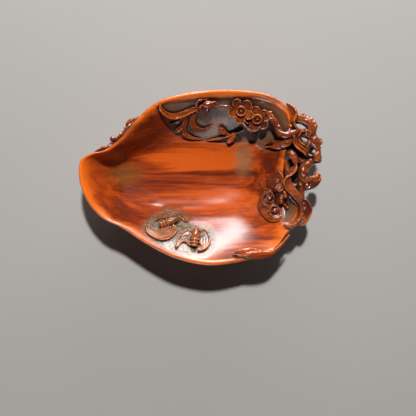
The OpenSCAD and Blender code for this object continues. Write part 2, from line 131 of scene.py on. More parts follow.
class Bowl:
    """The bowl's own surfaces: where its rim, inner wall and outer wall are, in millimetres."""

    def __init__(self, lip):
        self.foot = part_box("dish_bowl")[0].z / MM
        self.floor = self.foot + FLOOR_THICKNESS
        self.lip = lip
        plan = spline(OUTLINE, 24, closed=True) - CENTRE
        angle = np.arctan2(plan[:, 1], plan[:, 0])
        order = np.argsort(angle)
        self.angles = angle[order]
        self.radii = np.hypot(*plan.T)[order]

    def rim_r(self, a):
        """Distance from the centre to the rim."""
        return np.interp(a, self.angles, self.radii, period=2 * math.pi)

    def rim_z(self, a):
        """Height of the rim."""
        return RIM_HEIGHT - RIM_TILT * np.cos(a) - RIM_BOW * np.cos(2 * a)

    def floor_r(self, a):
        """Distance from the centre to the edge of the oval floor."""
        c = CENTRE[0] - FLOOR_X
        k, m = (2 / FLOOR_LENGTH) ** 2, (2 / FLOOR_WIDTH) ** 2
        p = k * np.cos(a) ** 2 + m * np.sin(a) ** 2
        q = k * c * np.cos(a)
        return (np.sqrt(q * q - p * (k * c * c - 1)) - q) / p

    @staticmethod
    def rise(u):
        """Rise of the outer wall from the foot (0) to the rim (1)."""
        return u * u * (2.2 - 1.2 * u)

    def inner_z(self, x, y):
        """Height of the inner surface: a dished floor that runs smoothly into the wall."""
        a = np.arctan2(y - CENTRE[1], x - CENTRE[0])
        r = np.hypot(x - CENTRE[0], y - CENTRE[1])
        f = self.floor_r(a)
        run = self.rim_r(a) - self.lip - f
        u = np.clip((r - f) / run, 0, 1)
        dished = self.floor + DISHING * np.minimum(r / f, 1) ** 2
        climb = self.rim_z(a) - self.floor - DISHING
        start = 2 * DISHING / f * run / climb
        curved = 1.75 * u**2 - 0.75 * u**3
        even = (u - FRONT_EASE * (1 - np.exp(-u / FRONT_EASE))) / (1 - FRONT_EASE)
        front = smoothstep(-np.sin(a), 0.3, 0.8)
        return dished + climb * (start * (u - u**3) + curved + (even - curved) * front)

    def outer_point(self, degrees, share, lift):
        """A place on the outer wall, from 0 at the foot to 1 at the rim, and its stand-off."""
        a = math.radians(degrees)
        f = self.floor_r(a)
        run = self.rim_r(a) - f
        top = self.rim_z(a) - LIP_DROP - self.foot
        steep = top * share * (4.4 - 3.6 * share)
        size = math.hypot(steep, run)
        q = f + run * share + lift * steep / size
        z = self.foot + top * self.rise(share) - lift * run / size
        return [CENTRE[0] + q * math.cos(a), CENTRE[1] + q * math.sin(a), z]

    def inside(self, route):
        """Turns [x, y, height over the wall, half-width] rows into [x, y, z, half-width] rows."""
        return [[x, y, float(self.inner_z(x, y)) + h, r] for x, y, h, r in route]

    def edges(self, rows):
        """Turns [x, y, height, x, y, height] rows of a leaf's two edges into places over the wall."""
        return [[a, b, float(self.inner_z(a, b)) + c, d, e, float(self.inner_z(d, e)) + f]
                for a, b, c, d, e, f in rows]

    def outside(self, route):
        """Turns [angle, share, stand-off, half-width] rows into [x, y, z, half-width] rows."""
        return [self.outer_point(a, v, h) + [r] for a, v, h, r in route]


# ---------------------------------------------------------------- node trees


class Value:
    """A number that varies over a surface or a curve, so that node maths reads as plain sums."""

    def __init__(self, tree, socket):
        self.tree = tree
        self.socket = socket

    def math(self, operation, *others, first=None):
        """Adds a Math node; first is a number that stands before this value."""
        sources = (self, *others) if first is None else (first, self)
        return self.tree.node("ShaderNodeMath", {"operation": operation}, dict(enumerate(sources)))

    def __add__(self, other):
        return self.math("ADD", other)

    def __sub__(self, other):
        return self.math("SUBTRACT", other)

    def __mul__(self, other):
        return self.math("MULTIPLY", other)

    def __rsub__(self, other):
        return self.math("SUBTRACT", first=other)

    __radd__ = __add__
    __rmul__ = __mul__

    def least(self, other):
        return self.math("MINIMUM", other)

    def most(self, other):
        return self.math("MAXIMUM", other)

    def ramp(self, low, high, start=0.0, end=1.0):
        """Eases from start to end as the value goes from low to high."""
        return self.tree.node(
            "ShaderNodeMapRange", {"interpolation_type": "SMOOTHSTEP"},
            {0: self, 1: low, 2: high, 3: start, 4: end})


class Tree:
    """Makes the nodes of one shader or geometry tree."""

    def __init__(self, nodes_of):
        self.tree = nodes_of
        self.tree.nodes.clear()

    def node(self, kind, settings=None, sockets=None, out=0):
        """Adds a node: its settings first, then the values or links of its sockets."""
        made = self.tree.nodes.new(kind)
        for key, value in (settings or {}).items():
            setattr(made, key, value)
        for key, value in (sockets or {}).items():
            socket = made.inputs[key]
            if isinstance(value, Value):
                self.tree.links.new(value.socket, socket)
            else:
                socket.default_value = value
        return Value(self, made.outputs[out]) if made.outputs else made

    def mix(self, factor, first, second):
        """Blends two colours."""
        return self.node("ShaderNodeMix", {"data_type": "RGBA"}, {0: factor, 6: first, 7: second}, 2)

    def stored(self, name):
        """A number that is stored on the mesh."""
        return self.node("ShaderNodeAttribute", {"attribute_name": name}, out=2)


# ---------------------------------------------------------------- mesh helpers


def mesh_of(name, vertices, faces):
    """A new mesh from its places and faces."""
    mesh = bpy.data.meshes.new(name)
    mesh.from_pydata([tuple(v) for v in np.asarray(vertices)], [], faces)
    mesh.update()
    return mesh


def face_outwards(mesh):
    """Turns all the faces of a closed mesh outwards."""
    fix = bmesh.new()
    fix.from_mesh(mesh)
    bmesh.ops.recalc_face_normals(fix, faces=fix.faces)
    fix.to_mesh(mesh)
    fix.free()


def limb_tree():
    """Geometry nodes that sweep a round or hollowed section along every curve of a piece."""
    tree = bpy.data.node_groups.new("Carved limb", "GeometryNodeTree")
    face = tree.interface
    face.new_socket("Geometry", in_out="INPUT", socket_type="NodeSocketGeometry")
    for name, kind, default in (("Sides", "NodeSocketInt", 16), ("Flatness", "NodeSocketFloat", 1.0),
                                ("Hollow", "NodeSocketFloat", 0.0)):
        face.new_socket(name, in_out="INPUT", socket_type=kind).default_value = default
    face.new_socket("Wood", in_out="INPUT", socket_type="NodeSocketMaterial")
    face.new_socket("Geometry", in_out="OUTPUT", socket_type="NodeSocketGeometry")
    t = Tree(tree)
    curves, sides, flat, hollow, wood_in = (t.node("NodeGroupInput", out=i) for i in range(5))
    ring = t.node("GeometryNodeCurvePrimitiveCircle", {}, {"Resolution": sides, "Radius": 1.0})
    place = t.node("GeometryNodeInputPosition")
    across = t.node("ShaderNodeSeparateXYZ", {}, {0: place}, 0)
    up = t.node("ShaderNodeSeparateXYZ", {}, {0: place}, 1)
    dip = up.most(0.0) * (1 - across * across) * hollow
    height = (up - dip) * flat
    moved = t.node("ShaderNodeCombineXYZ", {}, {0: across, 1: height})
    section = t.node("GeometryNodeSetPosition", {}, {"Geometry": ring, "Position": moved})
    upright = t.node("GeometryNodeSetCurveNormal", {"mode": "Z_UP"}, {"Curve": curves})
    radius = t.node("GeometryNodeInputRadius")
    swept = t.node("GeometryNodeCurveToMesh", {},
                   {"Curve": upright, "Profile Curve": section, "Scale": radius, "Fill Caps": True})
    real = t.node("GeometryNodeRealizeInstances", {}, {"Geometry": swept})
    done = t.node("GeometryNodeSetMaterial", {}, {"Geometry": real, "Material": wood_in})
    t.node("NodeGroupOutput", {}, {0: done})
    return tree


def bead_tree():
    """Geometry nodes that put a bead, stretched by its own size, on every point of a piece."""
    tree = bpy.data.node_groups.new("Carved beads", "GeometryNodeTree")
    face = tree.interface
    face.new_socket("Geometry", in_out="INPUT", socket_type="NodeSocketGeometry")
    face.new_socket("Rings", in_out="INPUT", socket_type="NodeSocketInt").default_value = 10
    face.new_socket("Wood", in_out="INPUT", socket_type="NodeSocketMaterial")
    face.new_socket("Geometry", in_out="OUTPUT", socket_type="NodeSocketGeometry")
    t = Tree(tree)
    points, rings, wood_in = (t.node("NodeGroupInput", out=i) for i in range(3))
    bead = t.node("GeometryNodeMeshUVSphere", {}, {"Segments": rings * 2, "Rings": rings, "Radius": 1.0})
    size = t.node("GeometryNodeInputNamedAttribute", {"data_type": "FLOAT_VECTOR"}, {"Name": "size"})
    turn = t.node("GeometryNodeInputNamedAttribute", {"data_type": "FLOAT_VECTOR"}, {"Name": "turn"})
    angle = t.node("FunctionNodeEulerToRotation", {}, {0: turn})
    string = t.node("GeometryNodeInstanceOnPoints", {},
                    {"Points": points, "Instance": bead, "Rotation": angle, "Scale": size})
    real = t.node("GeometryNodeRealizeInstances", {}, {"Geometry": string})
    done = t.node("GeometryNodeSetMaterial", {}, {"Geometry": real, "Material": wood_in})
    t.node("NodeGroupOutput", {}, {0: done})
    return tree


def run_tree(obj, tree, **inputs):
    """Runs a geometry tree on an object and returns the mesh that it makes."""
    modifier = obj.modifiers.new(tree.name, "NODES")
    modifier.node_group = tree
    names = {s.name: s.identifier for s in tree.interface.items_tree if s.in_out == "INPUT"}
    for name, value in inputs.items():
        modifier[names[name]] = value
    mesh = baked(obj)
    bpy.data.objects.remove(obj)
    return mesh


def baked(obj):
    """The mesh of an object with all its modifiers."""
    if obj.name not in bpy.context.scene.collection.objects:
        bpy.context.scene.collection.objects.link(obj)
    graph = bpy.context.evaluated_depsgraph_get()
    return bpy.data.meshes.new_from_object(obj.evaluated_get(graph))


def limbs(routes, flat=1.0, hollow=0.0, sides=16, steps=6):
    """Meshes for limbs along routes of [x, y, z, half-width] rows, in millimetres."""
    curve = bpy.data.curves.new("route", "CURVE")
    curve.dimensions = "3D"
    for route in routes:
        rows = spline(route, steps)
        line = curve.splines.new("POLY")
        line.points.add(len(rows) - 1)
        line.points.foreach_set("co", np.column_stack([rows[:, :3], np.ones(len(rows))]).ravel())
        line.points.foreach_set("radius", np.maximum(rows[:, 3], THIN_END))
    obj = bpy.data.objects.new("route", curve)
    return run_tree(obj, TREES["limb"], Sides=sides, Flatness=flat, Hollow=hollow)


def shell(rows):
    """A closed mesh through rings of places, each ring all round the solid, with flat ends."""
    rows = np.asarray(rows, float)
    count, around = rows.shape[:2]
    ids = np.arange(count * around).reshape(count, around)
    step = np.roll(ids, -1, axis=1)
    quads = np.stack([ids[:-1], step[:-1], step[1:], ids[1:]], axis=-1).reshape(-1, 4)
    ends = [ids[0][::-1].tolist(), ids[-1].tolist()]
    mesh = mesh_of("shell", rows.reshape(-1, 3), quads.tolist() + ends)
    face_outwards(mesh)
    return mesh


def blade(rows, dip=0.2, depth=4.0, across=10, steps=7):
    """A carved leaf between two edges, given as [x, y, z, x, y, z] rows; its face dips between them."""
    rows = spline(rows, steps)
    t = np.linspace(0, 1, across + 1)[None, :, None]
    face = rows[:, None, :3] * (1 - t) + rows[:, None, 3:] * t
    width = np.linalg.norm(rows[:, 3:5] - rows[:, :2], axis=1)
    face[:, :, 2] -= dip * width[:, None] * np.sin(math.pi * t[:, :, 0]) ** 0.6
    back = face[:, ::-1].copy()
    back[:, :, 2] = np.minimum(back[:, :, 2], face[:, :, 2].min(axis=1)[:, None]) - depth
    back[:, :, :2] += (face[:, ::-1, :2].mean(axis=1)[:, None] - back[:, :, :2]) * 0.25
    return shell(np.concatenate([face, back], axis=1))


def slab(outline, top, base, rings=12, around=72, middle=None):
    """A raised patch with a star-shaped outline; top(x, y, share) and base(x, y) give its heights."""
    plan = spline(outline, 12, closed=True)
    plan = plan[np.linspace(0, len(plan), around, endpoint=False).astype(int)]
    middle = plan.mean(axis=0) if middle is None else np.array(middle, float)
    sheets = [np.column_stack([plan, base(*plan.T)])]
    for share in np.linspace(1, 0.04, rings):
        xy = middle + (plan - middle) * share
        sheets.append(np.column_stack([xy, top(*xy.T, share)]))
    return shell(sheets)


def beads(rows, rings=10):
    """Meshes for beads given as [x, y, z, size x, size y, size z, turn x, turn y, turn z] rows."""
    rows = np.array([list(r) + [0.0] * (9 - len(r)) for r in rows], float)
    mesh = mesh_of("bead", rows[:, :3], [])
    for name, columns in (("size", rows[:, 3:6]), ("turn", np.radians(rows[:, 6:9]))):
        values = mesh.attributes.new(name, "FLOAT_VECTOR", "POINT")
        values.data.foreach_set("vector", np.ascontiguousarray(columns).ravel())
    return run_tree(bpy.data.objects.new("bead", mesh), TREES["bead"], Rings=rings)


def ball(x, y, z, r):
    """The row of a round bead."""
    return [x, y, z, r, r, r]


def scroll(centre, r, start, turns, way, thick, rise=1.0, steps=26):
    """A spiral route that winds inwards from its outer end."""
    rows = []
    for t in np.linspace(0, 1, steps):
        q = r * (1 - 0.8 * t)
        a = math.radians(start + way * 360 * turns * t)
        rows.append([centre[0] + q * math.cos(a), centre[1] + q * math.sin(a), centre[2] + rise * t,
                     thick * (1 - 0.3 * t)])
    return rows


def hoop(centre, r, thick, tilt=(0, 0), count=24):
    """A closed ring route whose plane leans by tilt, as slopes along x and y."""
    rows = []
    for i in range(count + 1):
        a = 2 * math.pi * i / count
        dx, dy = r * math.cos(a), r * math.sin(a)
        rows.append([centre[0] + dx, centre[1] + dy, centre[2] + dx * tilt[0] + dy * tilt[1], thick])
    return rows


def neighbour_means(mesh, values):
    """Means of each vertex's neighbours' values."""
    edges = np.empty(len(mesh.edges) * 2, int)
    mesh.edges.foreach_get("vertices", edges)
    a, b = edges.reshape(-1, 2).T
    count = np.bincount(a, minlength=len(values)) + np.bincount(b, minlength=len(values))
    total = np.zeros_like(values)
    for column in range(values.shape[1]):
        total[:, column] = (np.bincount(a, values[b, column], len(values))
                            + np.bincount(b, values[a, column], len(values)))
    return total / np.maximum(count, 1)[:, None]


def places(mesh):
    """Where the mesh's vertices are, one row each."""
    co = np.empty(len(mesh.vertices) * 3)
    mesh.vertices.foreach_get("co", co)
    return co.reshape(-1, 3)


def normals(mesh):
    """Which way the mesh's vertices face, one row each."""
    no = np.empty(len(mesh.vertices) * 3)
    mesh.vertex_normals.foreach_get("vector", no)
    return no.reshape(-1, 3)


def store(mesh, name, values):
    """Keeps a number for each vertex, for the wood to read."""
    layer = mesh.attributes.new(name, "FLOAT", "POINT")
    layer.data.foreach_set("value", np.ascontiguousarray(values, dtype=np.float32))


def add_wear(mesh, scale):
    """Stores where the surface stands out and gets rubbed bright, and where it is a crease, which the wood
    darkens as painted shade.
    """
    co = places(mesh)
    near = co
    for _ in range(4):
        near = neighbour_means(mesh, near)
    bulge = np.einsum("ij,ij->i", co - near, normals(mesh)) / scale
    bulge = bulge[:, None]
    for _ in range(3):
        bulge = neighbour_means(mesh, bulge)
    store(mesh, "wear", smoothstep(bulge[:, 0], 0.02, 0.5))
    store(mesh, "crease", smoothstep(-bulge[:, 0], 0.02, 0.5))


def knife_work(co):
    """Slight unevenness of hand carving: a smooth shift of each place, in millimetres."""
    x, y, z = co.T
    return KNIFE_SHIFT * np.column_stack([
        np.sin(1.9 * y + 1.3 * z) + np.sin(1.1 * x - 2.3 * z),
        np.sin(2.1 * x + 0.7 * z) + np.sin(1.3 * y + 1.9 * z),
        np.sin(1.7 * x + 1.1 * y) + np.sin(2.3 * y - 1.5 * x)])


def carve(name, node, slot, parts, voxel=0.26, soften=7, wood=None):
    """Joins parts into one carved skin that stands for a node of the frame."""
    joined = bmesh.new()
    for part in parts:
        joined.from_mesh(part)
        bpy.data.meshes.remove(part)
    mesh = bpy.data.meshes.new(name)
    joined.to_mesh(mesh)
    joined.free()
    raw = bpy.data.objects.new(name, mesh)
    remesh = raw.modifiers.new("skin", "REMESH")
    remesh.mode = "VOXEL"
    remesh.voxel_size = voxel
    remesh.use_smooth_shade = True
    smooth = raw.modifiers.new("soften", "SMOOTH")
    smooth.factor = 0.5
    smooth.iterations = soften
    skin = baked(raw)
    bpy.data.objects.remove(raw)
    bpy.data.meshes.remove(mesh)
    co = places(skin)
    skin.vertices.foreach_set("co", (co + knife_work(co)).ravel())
    skin.update()
    add_wear(skin, voxel)
    finished(name, node, skin, wood or slot)


def finished(name, node, mesh, wood):
    """Turns a mesh in millimetres into a finished piece that rides on the dish."""
    name = name.replace(" ", "_")
    mesh.name = name
    mesh.vertices.foreach_set("co", (places(mesh) * MM).ravel())
    mesh.update()
    mesh.shade_smooth()
    mesh.materials.clear()
    mesh.materials.append(MATERIALS[wood])
    piece = bpy.data.objects.new(name, mesh)
    bpy.context.scene.collection.objects.link(piece)
    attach(piece, "root")
    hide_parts(node)
    return piece


# ---------------------------------------------------------------- the wood


def zone(t, here, centre, size, soft=0.8):
    """A soft oval patch, in millimetres: 1 in its middle and 0 outside."""
    offset = t.node("ShaderNodeVectorMath", {"operation": "SUBTRACT"},
                    {0: here, 1: [c * MM for c in centre]})
    shape = t.node("ShaderNodeVectorMath", {"operation": "DIVIDE"}, {0: offset, 1: [s * MM for s in size]})
    distance = t.node("ShaderNodeVectorMath", {"operation": "LENGTH"}, {0: shape}, 1)
    return distance.ramp(1 - soft, 1 + soft * 0.25, 1.0, 0.0)


def noise(t, here, along, across, detail=3.0, twist=0.0):
    """Streaks of waxed grain: about along millimetres long and across millimetres wide."""
    stretch = (1 / (along * MM), 1 / (across * MM), 1 / (across * MM))
    space = t.node("ShaderNodeMapping", {}, {"Vector": here, "Scale": stretch})
    return t.node("ShaderNodeTexNoise", {}, {"Vector": space, "Scale": 1.0, "Detail": detail,
                                             "Distortion": twist})


def wood(name, pale, middle, deep, gloss, bowl=False):
    """Waxed, hand-rubbed hardwood: streaked along X, with painted shade in its creases and hollows, and
    bright where it is worn.
    """
    material = bpy.data.materials.new(name)
    material.use_nodes = True
    t = Tree(material.node_tree)
    here = t.node("ShaderNodeTexCoord", out=3)
    bands = noise(t, here, 90, 9, 3, 0.6).ramp(0.32, 0.68)
    streaks = noise(t, here, 28, 1.6, 4, 0.3).ramp(0.3, 0.7)
    fibres = noise(t, here, 9, 0.45, 3)
    blotches = noise(t, here, 22, 14, 3, 0.5).ramp(0.35, 0.7)
    pores = noise(t, here, 2.4, 0.22, 1).ramp(0.62, 0.74)
    wear = t.stored("wear")
    crease = t.stored("crease")
    ground = t.stored("ground")
    open_air = t.node("ShaderNodeAmbientOcclusion", {"samples": 6}, {"Distance": 5 * MM}, 1)
    ao_shade = open_air.ramp(0.38, 0.96, 1.0, 0.0)
    tone = bands * 0.42 + streaks * 0.24 + blotches * 0.07 + fibres * 0.2 + 0.06
    if bowl:
        calm = zone(t, here, (-74, 2, 28), (26, 44, 30))
        # The bowl adds painted light on its floor and painted shade on its back and right walls.
        tone = tone * (1 - calm * 0.55) + calm * 0.36 + bowl_light_and_tone(t, here)
    tone = tone.ramp(0.12, 0.95)
    colour = t.mix(tone, deep, middle)
    colour = t.mix((tone * 0.5 + wear * 0.75).ramp(0.25, 1.0), colour, pale)
    colour = t.mix(pores * 0.35, colour, [c * 0.45 for c in deep[:3]] + [1.0])
    if bowl:
        colour = t.mix(zone(t, here, (-53, 4, 10), (15, 10, 40)) * 0.55, colour, (0.23, 0.1, 0.022, 1.0))
        colour = t.mix(zone(t, here, (29, 14, 10), (8, 15, 40)) * 0.7, colour, (0.32, 0.17, 0.075, 1.0))
    punched = t.stored("punched")
    dots = noise(t, here, 2.2, 1.5, 2).ramp(0.36, 0.62)
    stippled = t.mix(dots, (0.085, 0.055, 0.03, 1.0), (0.33, 0.27, 0.18, 1.0))
    earth = t.mix(punched, (0.155, 0.078, 0.042, 1.0), stippled)
    colour = t.mix((ground * 1.2).least(0.92), colour, earth)
    # Painted shade: the low middle of the openwork at the branch end, where its holes lie in shadow.
    hollow = zone(t, here, (68, 6, 19), (22, 42, 10), 0.5)
    # Painted shade: ambient occlusion, creases and the low openwork are mixed towards black.
    painted_shade = (ao_shade * 0.9 + crease * 0.6 + hollow * 0.75).least(0.96)
    colour = t.mix(painted_shade, colour, (0.012, 0.005, 0.003, 1.0))
    rough = (blotches * 0.08 + fibres * 0.06 + ground * 0.14 + painted_shade * 0.2 + (gloss - 0.07))
    shine = ground * -0.35 + 0.9
    if bowl:
        # Fingers have dulled the wax along the foot of the bats' wall.
        handled = zone(t, here, (-6, -21, 14), (44, 7, 16), 0.4)
        handled = handled.most(zone(t, here, (-44, -15, 14), (17, 9, 16), 0.4))
        rough = rough + handled * 0.45
        shine = shine - handled * 0.85
    cuts = noise(t, here, 6, 4, 1).ramp(0.2, 0.8)
    relief = (fibres * 0.12 + streaks * 0.08 + pores * -0.2 + cuts * 0.4) * (1.0 if bowl else 0.35)
    if bowl:
        relief = relief + ground_texture(t, here) + noise(t, here, 17, 11, 2) * 3.0
    normal = t.node("ShaderNodeBump", {}, {"Strength": 0.35, "Distance": 0.22 * MM, "Height": relief})
    surface = t.node("ShaderNodeBsdfPrincipled", {}, {
        "Base Color": colour, "Roughness": rough, "Normal": normal, "Coat Weight": shine,
        "Coat Roughness": 0.2, "Coat IOR": 1.48, "Specular IOR Level": 0.3})
    t.node("ShaderNodeOutputMaterial", {}, {0: surface})
    MATERIALS[name] = material


def bowl_light_and_tone(t, here):
    """Paler and darker patches over the inside: painted light on the middle and front of the floor, painted
    shade on the back and right walls, a darker band across the floor, darker patches left and right of it,
    and a paler tip.
    """
    # Painted light on the middle and front of the floor.
    bright = zone(t, here, (4, 14, 7), (44, 12, 30))
    low = zone(t, here, (-6, -14, 7), (50, 12, 30))
    band = zone(t, here, (14, 4.5, 7), (30, 3.4, 30), 0.6)
    left = zone(t, here, (-54, 6, 10), (17, 10, 40))
    right = zone(t, here, (30, 12, 10), (10, 9, 40))
    tip = zone(t, here, (-78, 0, 34), (14, 26, 26))
    # Painted shade on the back wall and the right wall.
    back = zone(t, here, (-38, 36, 24), (30, 18, 30))
    side = zone(t, here, (48, 13, 18), (13, 17, 40))
    dark = band * 0.3 + left * 0.1 + right * 0.15 + back * 0.32 + side * 0.24
    return bright * 0.45 + low * 0.3 + tip * 0.22 - dark


def ground_texture(t, here):
    """Punch marks round the bats and fine knife lines behind the flowers."""
    punched = t.stored("punched")
    lined = t.stored("lined")
    dots = t.node("ShaderNodeTexVoronoi", {}, {"Vector": here, "Scale": 1 / (1.0 * MM)}).ramp(0.1, 0.5)
    lines = noise(t, here, 0.6, 16, 2).ramp(0.35, 0.65)
    return punched * dots * 4.0 + lined * lines * 2.0


def edge_distance(points, polygon):
    """Signed distance of plan points to a closed outline: positive inside."""
    corners = spline(polygon, 8, closed=True)
    following = np.roll(corners, -1, axis=0)
    best = np.full(len(points), 1e9)
    inside = np.zeros(len(points), bool)
    for a, b in zip(corners, following):
        way = b - a
        t = np.clip((points - a) @ way / (way @ way), 0, 1)
        best = np.minimum(best, np.hypot(*(points - a - t[:, None] * way).T))
        crosses = (a[1] > points[:, 1]) != (b[1] > points[:, 1])
        if a[1] != b[1]:
            at = a[0] + (points[:, 1] - a[1]) * way[0] / way[1]
            inside ^= crosses & (points[:, 0] < at)
    return np.where(inside, best, -best)


# Sunken grounds behind the carvings: outline in plan, depth, half-width of its soft edge, and tool mark.
GROUNDS = [
    ([(-27.5, 48), (-16, 50), (0, 51.5), (20, 52.5), (38, 51.5), (49, 48), (56.5, 42), (58.5, 34), (57, 27.5),
      (50, 19), (42, 19.5), (36, 24), (28, 25), (20, 24), (8, 25.4), (-2, 26), (-10, 26.6), (-15, 29),
      (-20, 30.5), (-23, 35), (-26, 40), (-28, 44)],
     1.2, 1.5, "lined"),
    ([(56, -12), (61, -16), (63.5, -21), (62, -26), (58, -30), (54.5, -29), (55, -22), (53.5, -16)],
     1.0, 1.5, "lined"),
    ([(-38.4, -30.5), (-38, -36), (-34.6, -40.5), (-28, -45), (-20, -48.6), (-12, -49.4), (-4, -50),
      (3, -50), (7.6, -46), (8.6, -40), (5, -33), (-2, -31), (-8, -29.6), (-9.6, -25), (-16, -20.8),
      (-24, -20.4), (-31, -24)],
     0.7, 3.2, "punched"),
]


def bowl_mesh(bowl, around, wall_rows):
    """The bowl's skin: floor, inner wall, rounded lip, outer wall and base, in one closed mesh."""
    dense = spline(OUTLINE, 60, closed=True) - CENTRE
    steps = np.hypot(*(np.roll(dense, -1, axis=0) - dense).T)
    run = np.concatenate([[0], np.cumsum(steps)])
    marks = np.linspace(0, run[-1], around, endpoint=False)
    loop = np.vstack([dense, dense[:1]])
    plan = np.column_stack([np.interp(marks, run, loop[:, k]) for k in (0, 1)])
    a, r = np.arctan2(plan[:, 1], plan[:, 0]), np.hypot(*plan.T)
    f, top = bowl.floor_r(a), bowl.rim_z(a)
    inner = r - bowl.lip - f
    reaches = [f * s for s in np.linspace(0.03, 1, wall_rows // 3)]
    reaches += [f + inner * u for u in np.linspace(0, 1, wall_rows)[1:]]
    rows = [(q, bowl.inner_z(CENTRE[0] + q * np.cos(a), CENTRE[1] + q * np.sin(a))) for q in reaches]
    inner_count = len(rows)
    lip = [(-3.2, -0.18), (-3, 0), (-2.25, 0.6), (-1.26, 0.75), (-0.36, 0.2), (0, -1.2), (-0.4, -3),
           (-1.2, -4)]
    for x, z in spline(lip, 4)[5:-4]:
        rows.append((r + x, top + z))
    lip_end = len(rows)
    for v in np.linspace(1, 0, wall_rows // 2)[1:]:
        rows.append((f + (r - f - 0.4) * v, bowl.foot + (top - LIP_DROP - bowl.foot) * bowl.rise(v)))
    for s in (0.8, 0.55, 0.3, 0.05):
        rows.append((f * s, np.full(around, bowl.foot)))
    profile = np.array([np.broadcast_arrays(q, z) for q, z in rows[:inner_count + 6]])
    share = np.arange(1, len(profile) - 1)[:, None, None]
    near_floor = smoothstep(-share, 40 - inner_count, 4 - inner_count * 0.6)
    for turn in range(RUB_TURNS):
        ease = 0.5 * (1.0 if turn < RUB_ALL else near_floor)
        profile[1:-1] += ease * ((profile[:-2] + profile[2:]) / 2 - profile[1:-1])
    rows[:inner_count] = [(q, z) for q, z in profile[:inner_count]]
    way = plan / r[:, None]
    co = np.array([np.column_stack([CENTRE[0] + way[:, 0] * q, CENTRE[1] + way[:, 1] * q, z])
                   for q, z in rows])
    index = np.repeat(np.arange(len(rows)), around)
    co = co.reshape(-1, 3)
    is_inner = index < inner_count
    masks = {"lined": np.zeros(len(co)), "punched": np.zeros(len(co))}
    for outline, depth, edge, mark in GROUNDS:
        away = edge_distance(co[:, :2], outline)
        sunk = np.where(is_inner, smoothstep(away, -edge, edge), 0)
        co[:, 2] -= depth * sunk
        masks[mark] = np.maximum(masks[mark], sunk)
    mesh = shell(co.reshape(len(rows), around, 3))
    rubbed_in = smoothstep(index, inner_count - 22, inner_count + 6) * (index < inner_count)
    on_lip = (index >= inner_count) & (index < lip_end)
    rubbed_out = smoothstep(-index, -lip_end - 6, -lip_end) * (index >= lip_end)
    store(mesh, "wear", np.maximum.reduce([rubbed_in, on_lip * 0.9, rubbed_out]) * 0.8)
    store(mesh, "ground", np.maximum(masks["lined"] * 0.75, masks["punched"] * 0.8))
    for mark, mask in masks.items():
        store(mesh, mark, mask)
    return mesh


# ---------------------------------------------------------------- what a user can change


class DishSettings(bpy.types.PropertyGroup):
    """Sizes and finishes of the carved dish."""

    lip: bpy.props.FloatProperty(
        name="Lip width", description="Width of the rounded lip, seen from above",
        default=3.0 * MM, min=2.5 * MM, max=4 * MM, unit="LENGTH", precision=4)
    around: bpy.props.IntProperty(
        name="Stations", description="Number of stations round the bowl", default=440, min=120, max=480)
    wall_rows: bpy.props.IntProperty(
        name="Wall rows", description="Rows of faces up the inner wall", default=104, min=30, max=120)
    skin: bpy.props.FloatProperty(
        name="Carving fineness", description="Size of the smallest cut that a carved piece keeps",
        default=0.26 * MM, min=0.15 * MM, max=0.6 * MM, unit="LENGTH", precision=5)
    pale: bpy.props.FloatVectorProperty(
        name="Worn wood", description="Colour of the wood where it is rubbed bright",
        default=(0.88, 0.17, 0.012), subtype="COLOR", size=3, min=0, max=1)
    middle: bpy.props.FloatVectorProperty(
        name="Waxed wood", description="Main colour of the waxed wood",
        default=(0.56, 0.075, 0.008), subtype="COLOR", size=3, min=0, max=1)
    deep: bpy.props.FloatVectorProperty(
        name="Dark grain", description="Colour of the dark grain and the old patina",
        default=(0.125, 0.016, 0.005), subtype="COLOR", size=3, min=0, max=1)
    gloss: bpy.props.FloatProperty(
        name="Roughness", description="Roughness of the wax", default=0.24, min=0.05, max=0.8,
        subtype="FACTOR")
    blossom: bpy.props.FloatProperty(
        name="Blossom radius", description="Radius of a blossom over its petals",
        default=8.6 * MM, min=7 * MM, max=10 * MM, unit="LENGTH", precision=4)
    floor_colour: bpy.props.FloatVectorProperty(
        name="Floor", description="Colour of the plain floor", default=(0.41, 0.39, 0.37),
        subtype="COLOR", size=3, min=0, max=1)


class CarveOperator:
    """What all the carving steps share."""

    bl_options = {"REGISTER", "UNDO"}

    def execute(self, context):
        dish = context.scene.carved_dish
        self.build(dish, Bowl(dish.lip / MM))
        return {"FINISHED"}


class CARVE_OT_wood(CarveOperator, bpy.types.Operator):
    """Prepare the waxed wood finishes and the carving tools"""

    bl_idname = "carve.wood"
    bl_label = "Waxed Wood"

    def build(self, dish, bowl):
        TREES["limb"] = limb_tree()
        TREES["bead"] = bead_tree()
        pale, middle, deep = (list(c) + [1.0] for c in (dish.pale, dish.middle, dish.deep))
        darker = [c * k for c, k in zip(middle, (0.55, 0.85, 1.9, 1.0))]
        wood("bowl_wood", pale, middle, deep, dish.gloss, bowl=True)
        wood("foot_wood", middle, darker, deep, dish.gloss + 0.12)
        for name in ("leaf_wood", "flower_wood"):
            wood(name, pale, darker, deep, dish.gloss - 0.02)
        wood("branch_wood", (0.66, 0.145, 0.022, 1.0), darker, deep, dish.gloss - 0.02)
        wood("fungus_wood", pale, (0.2, 0.042, 0.013, 1.0), deep, dish.gloss - 0.02)
        wood("bat_wood", pale, (0.44, 0.13, 0.035, 1.0), (0.16, 0.06, 0.025, 1.0), dish.gloss)
        wood("lip_wood", pale, middle, deep, dish.gloss)
        wood("shaded_wood", darker, deep, [c * 0.5 for c in deep], dish.gloss + 0.1)


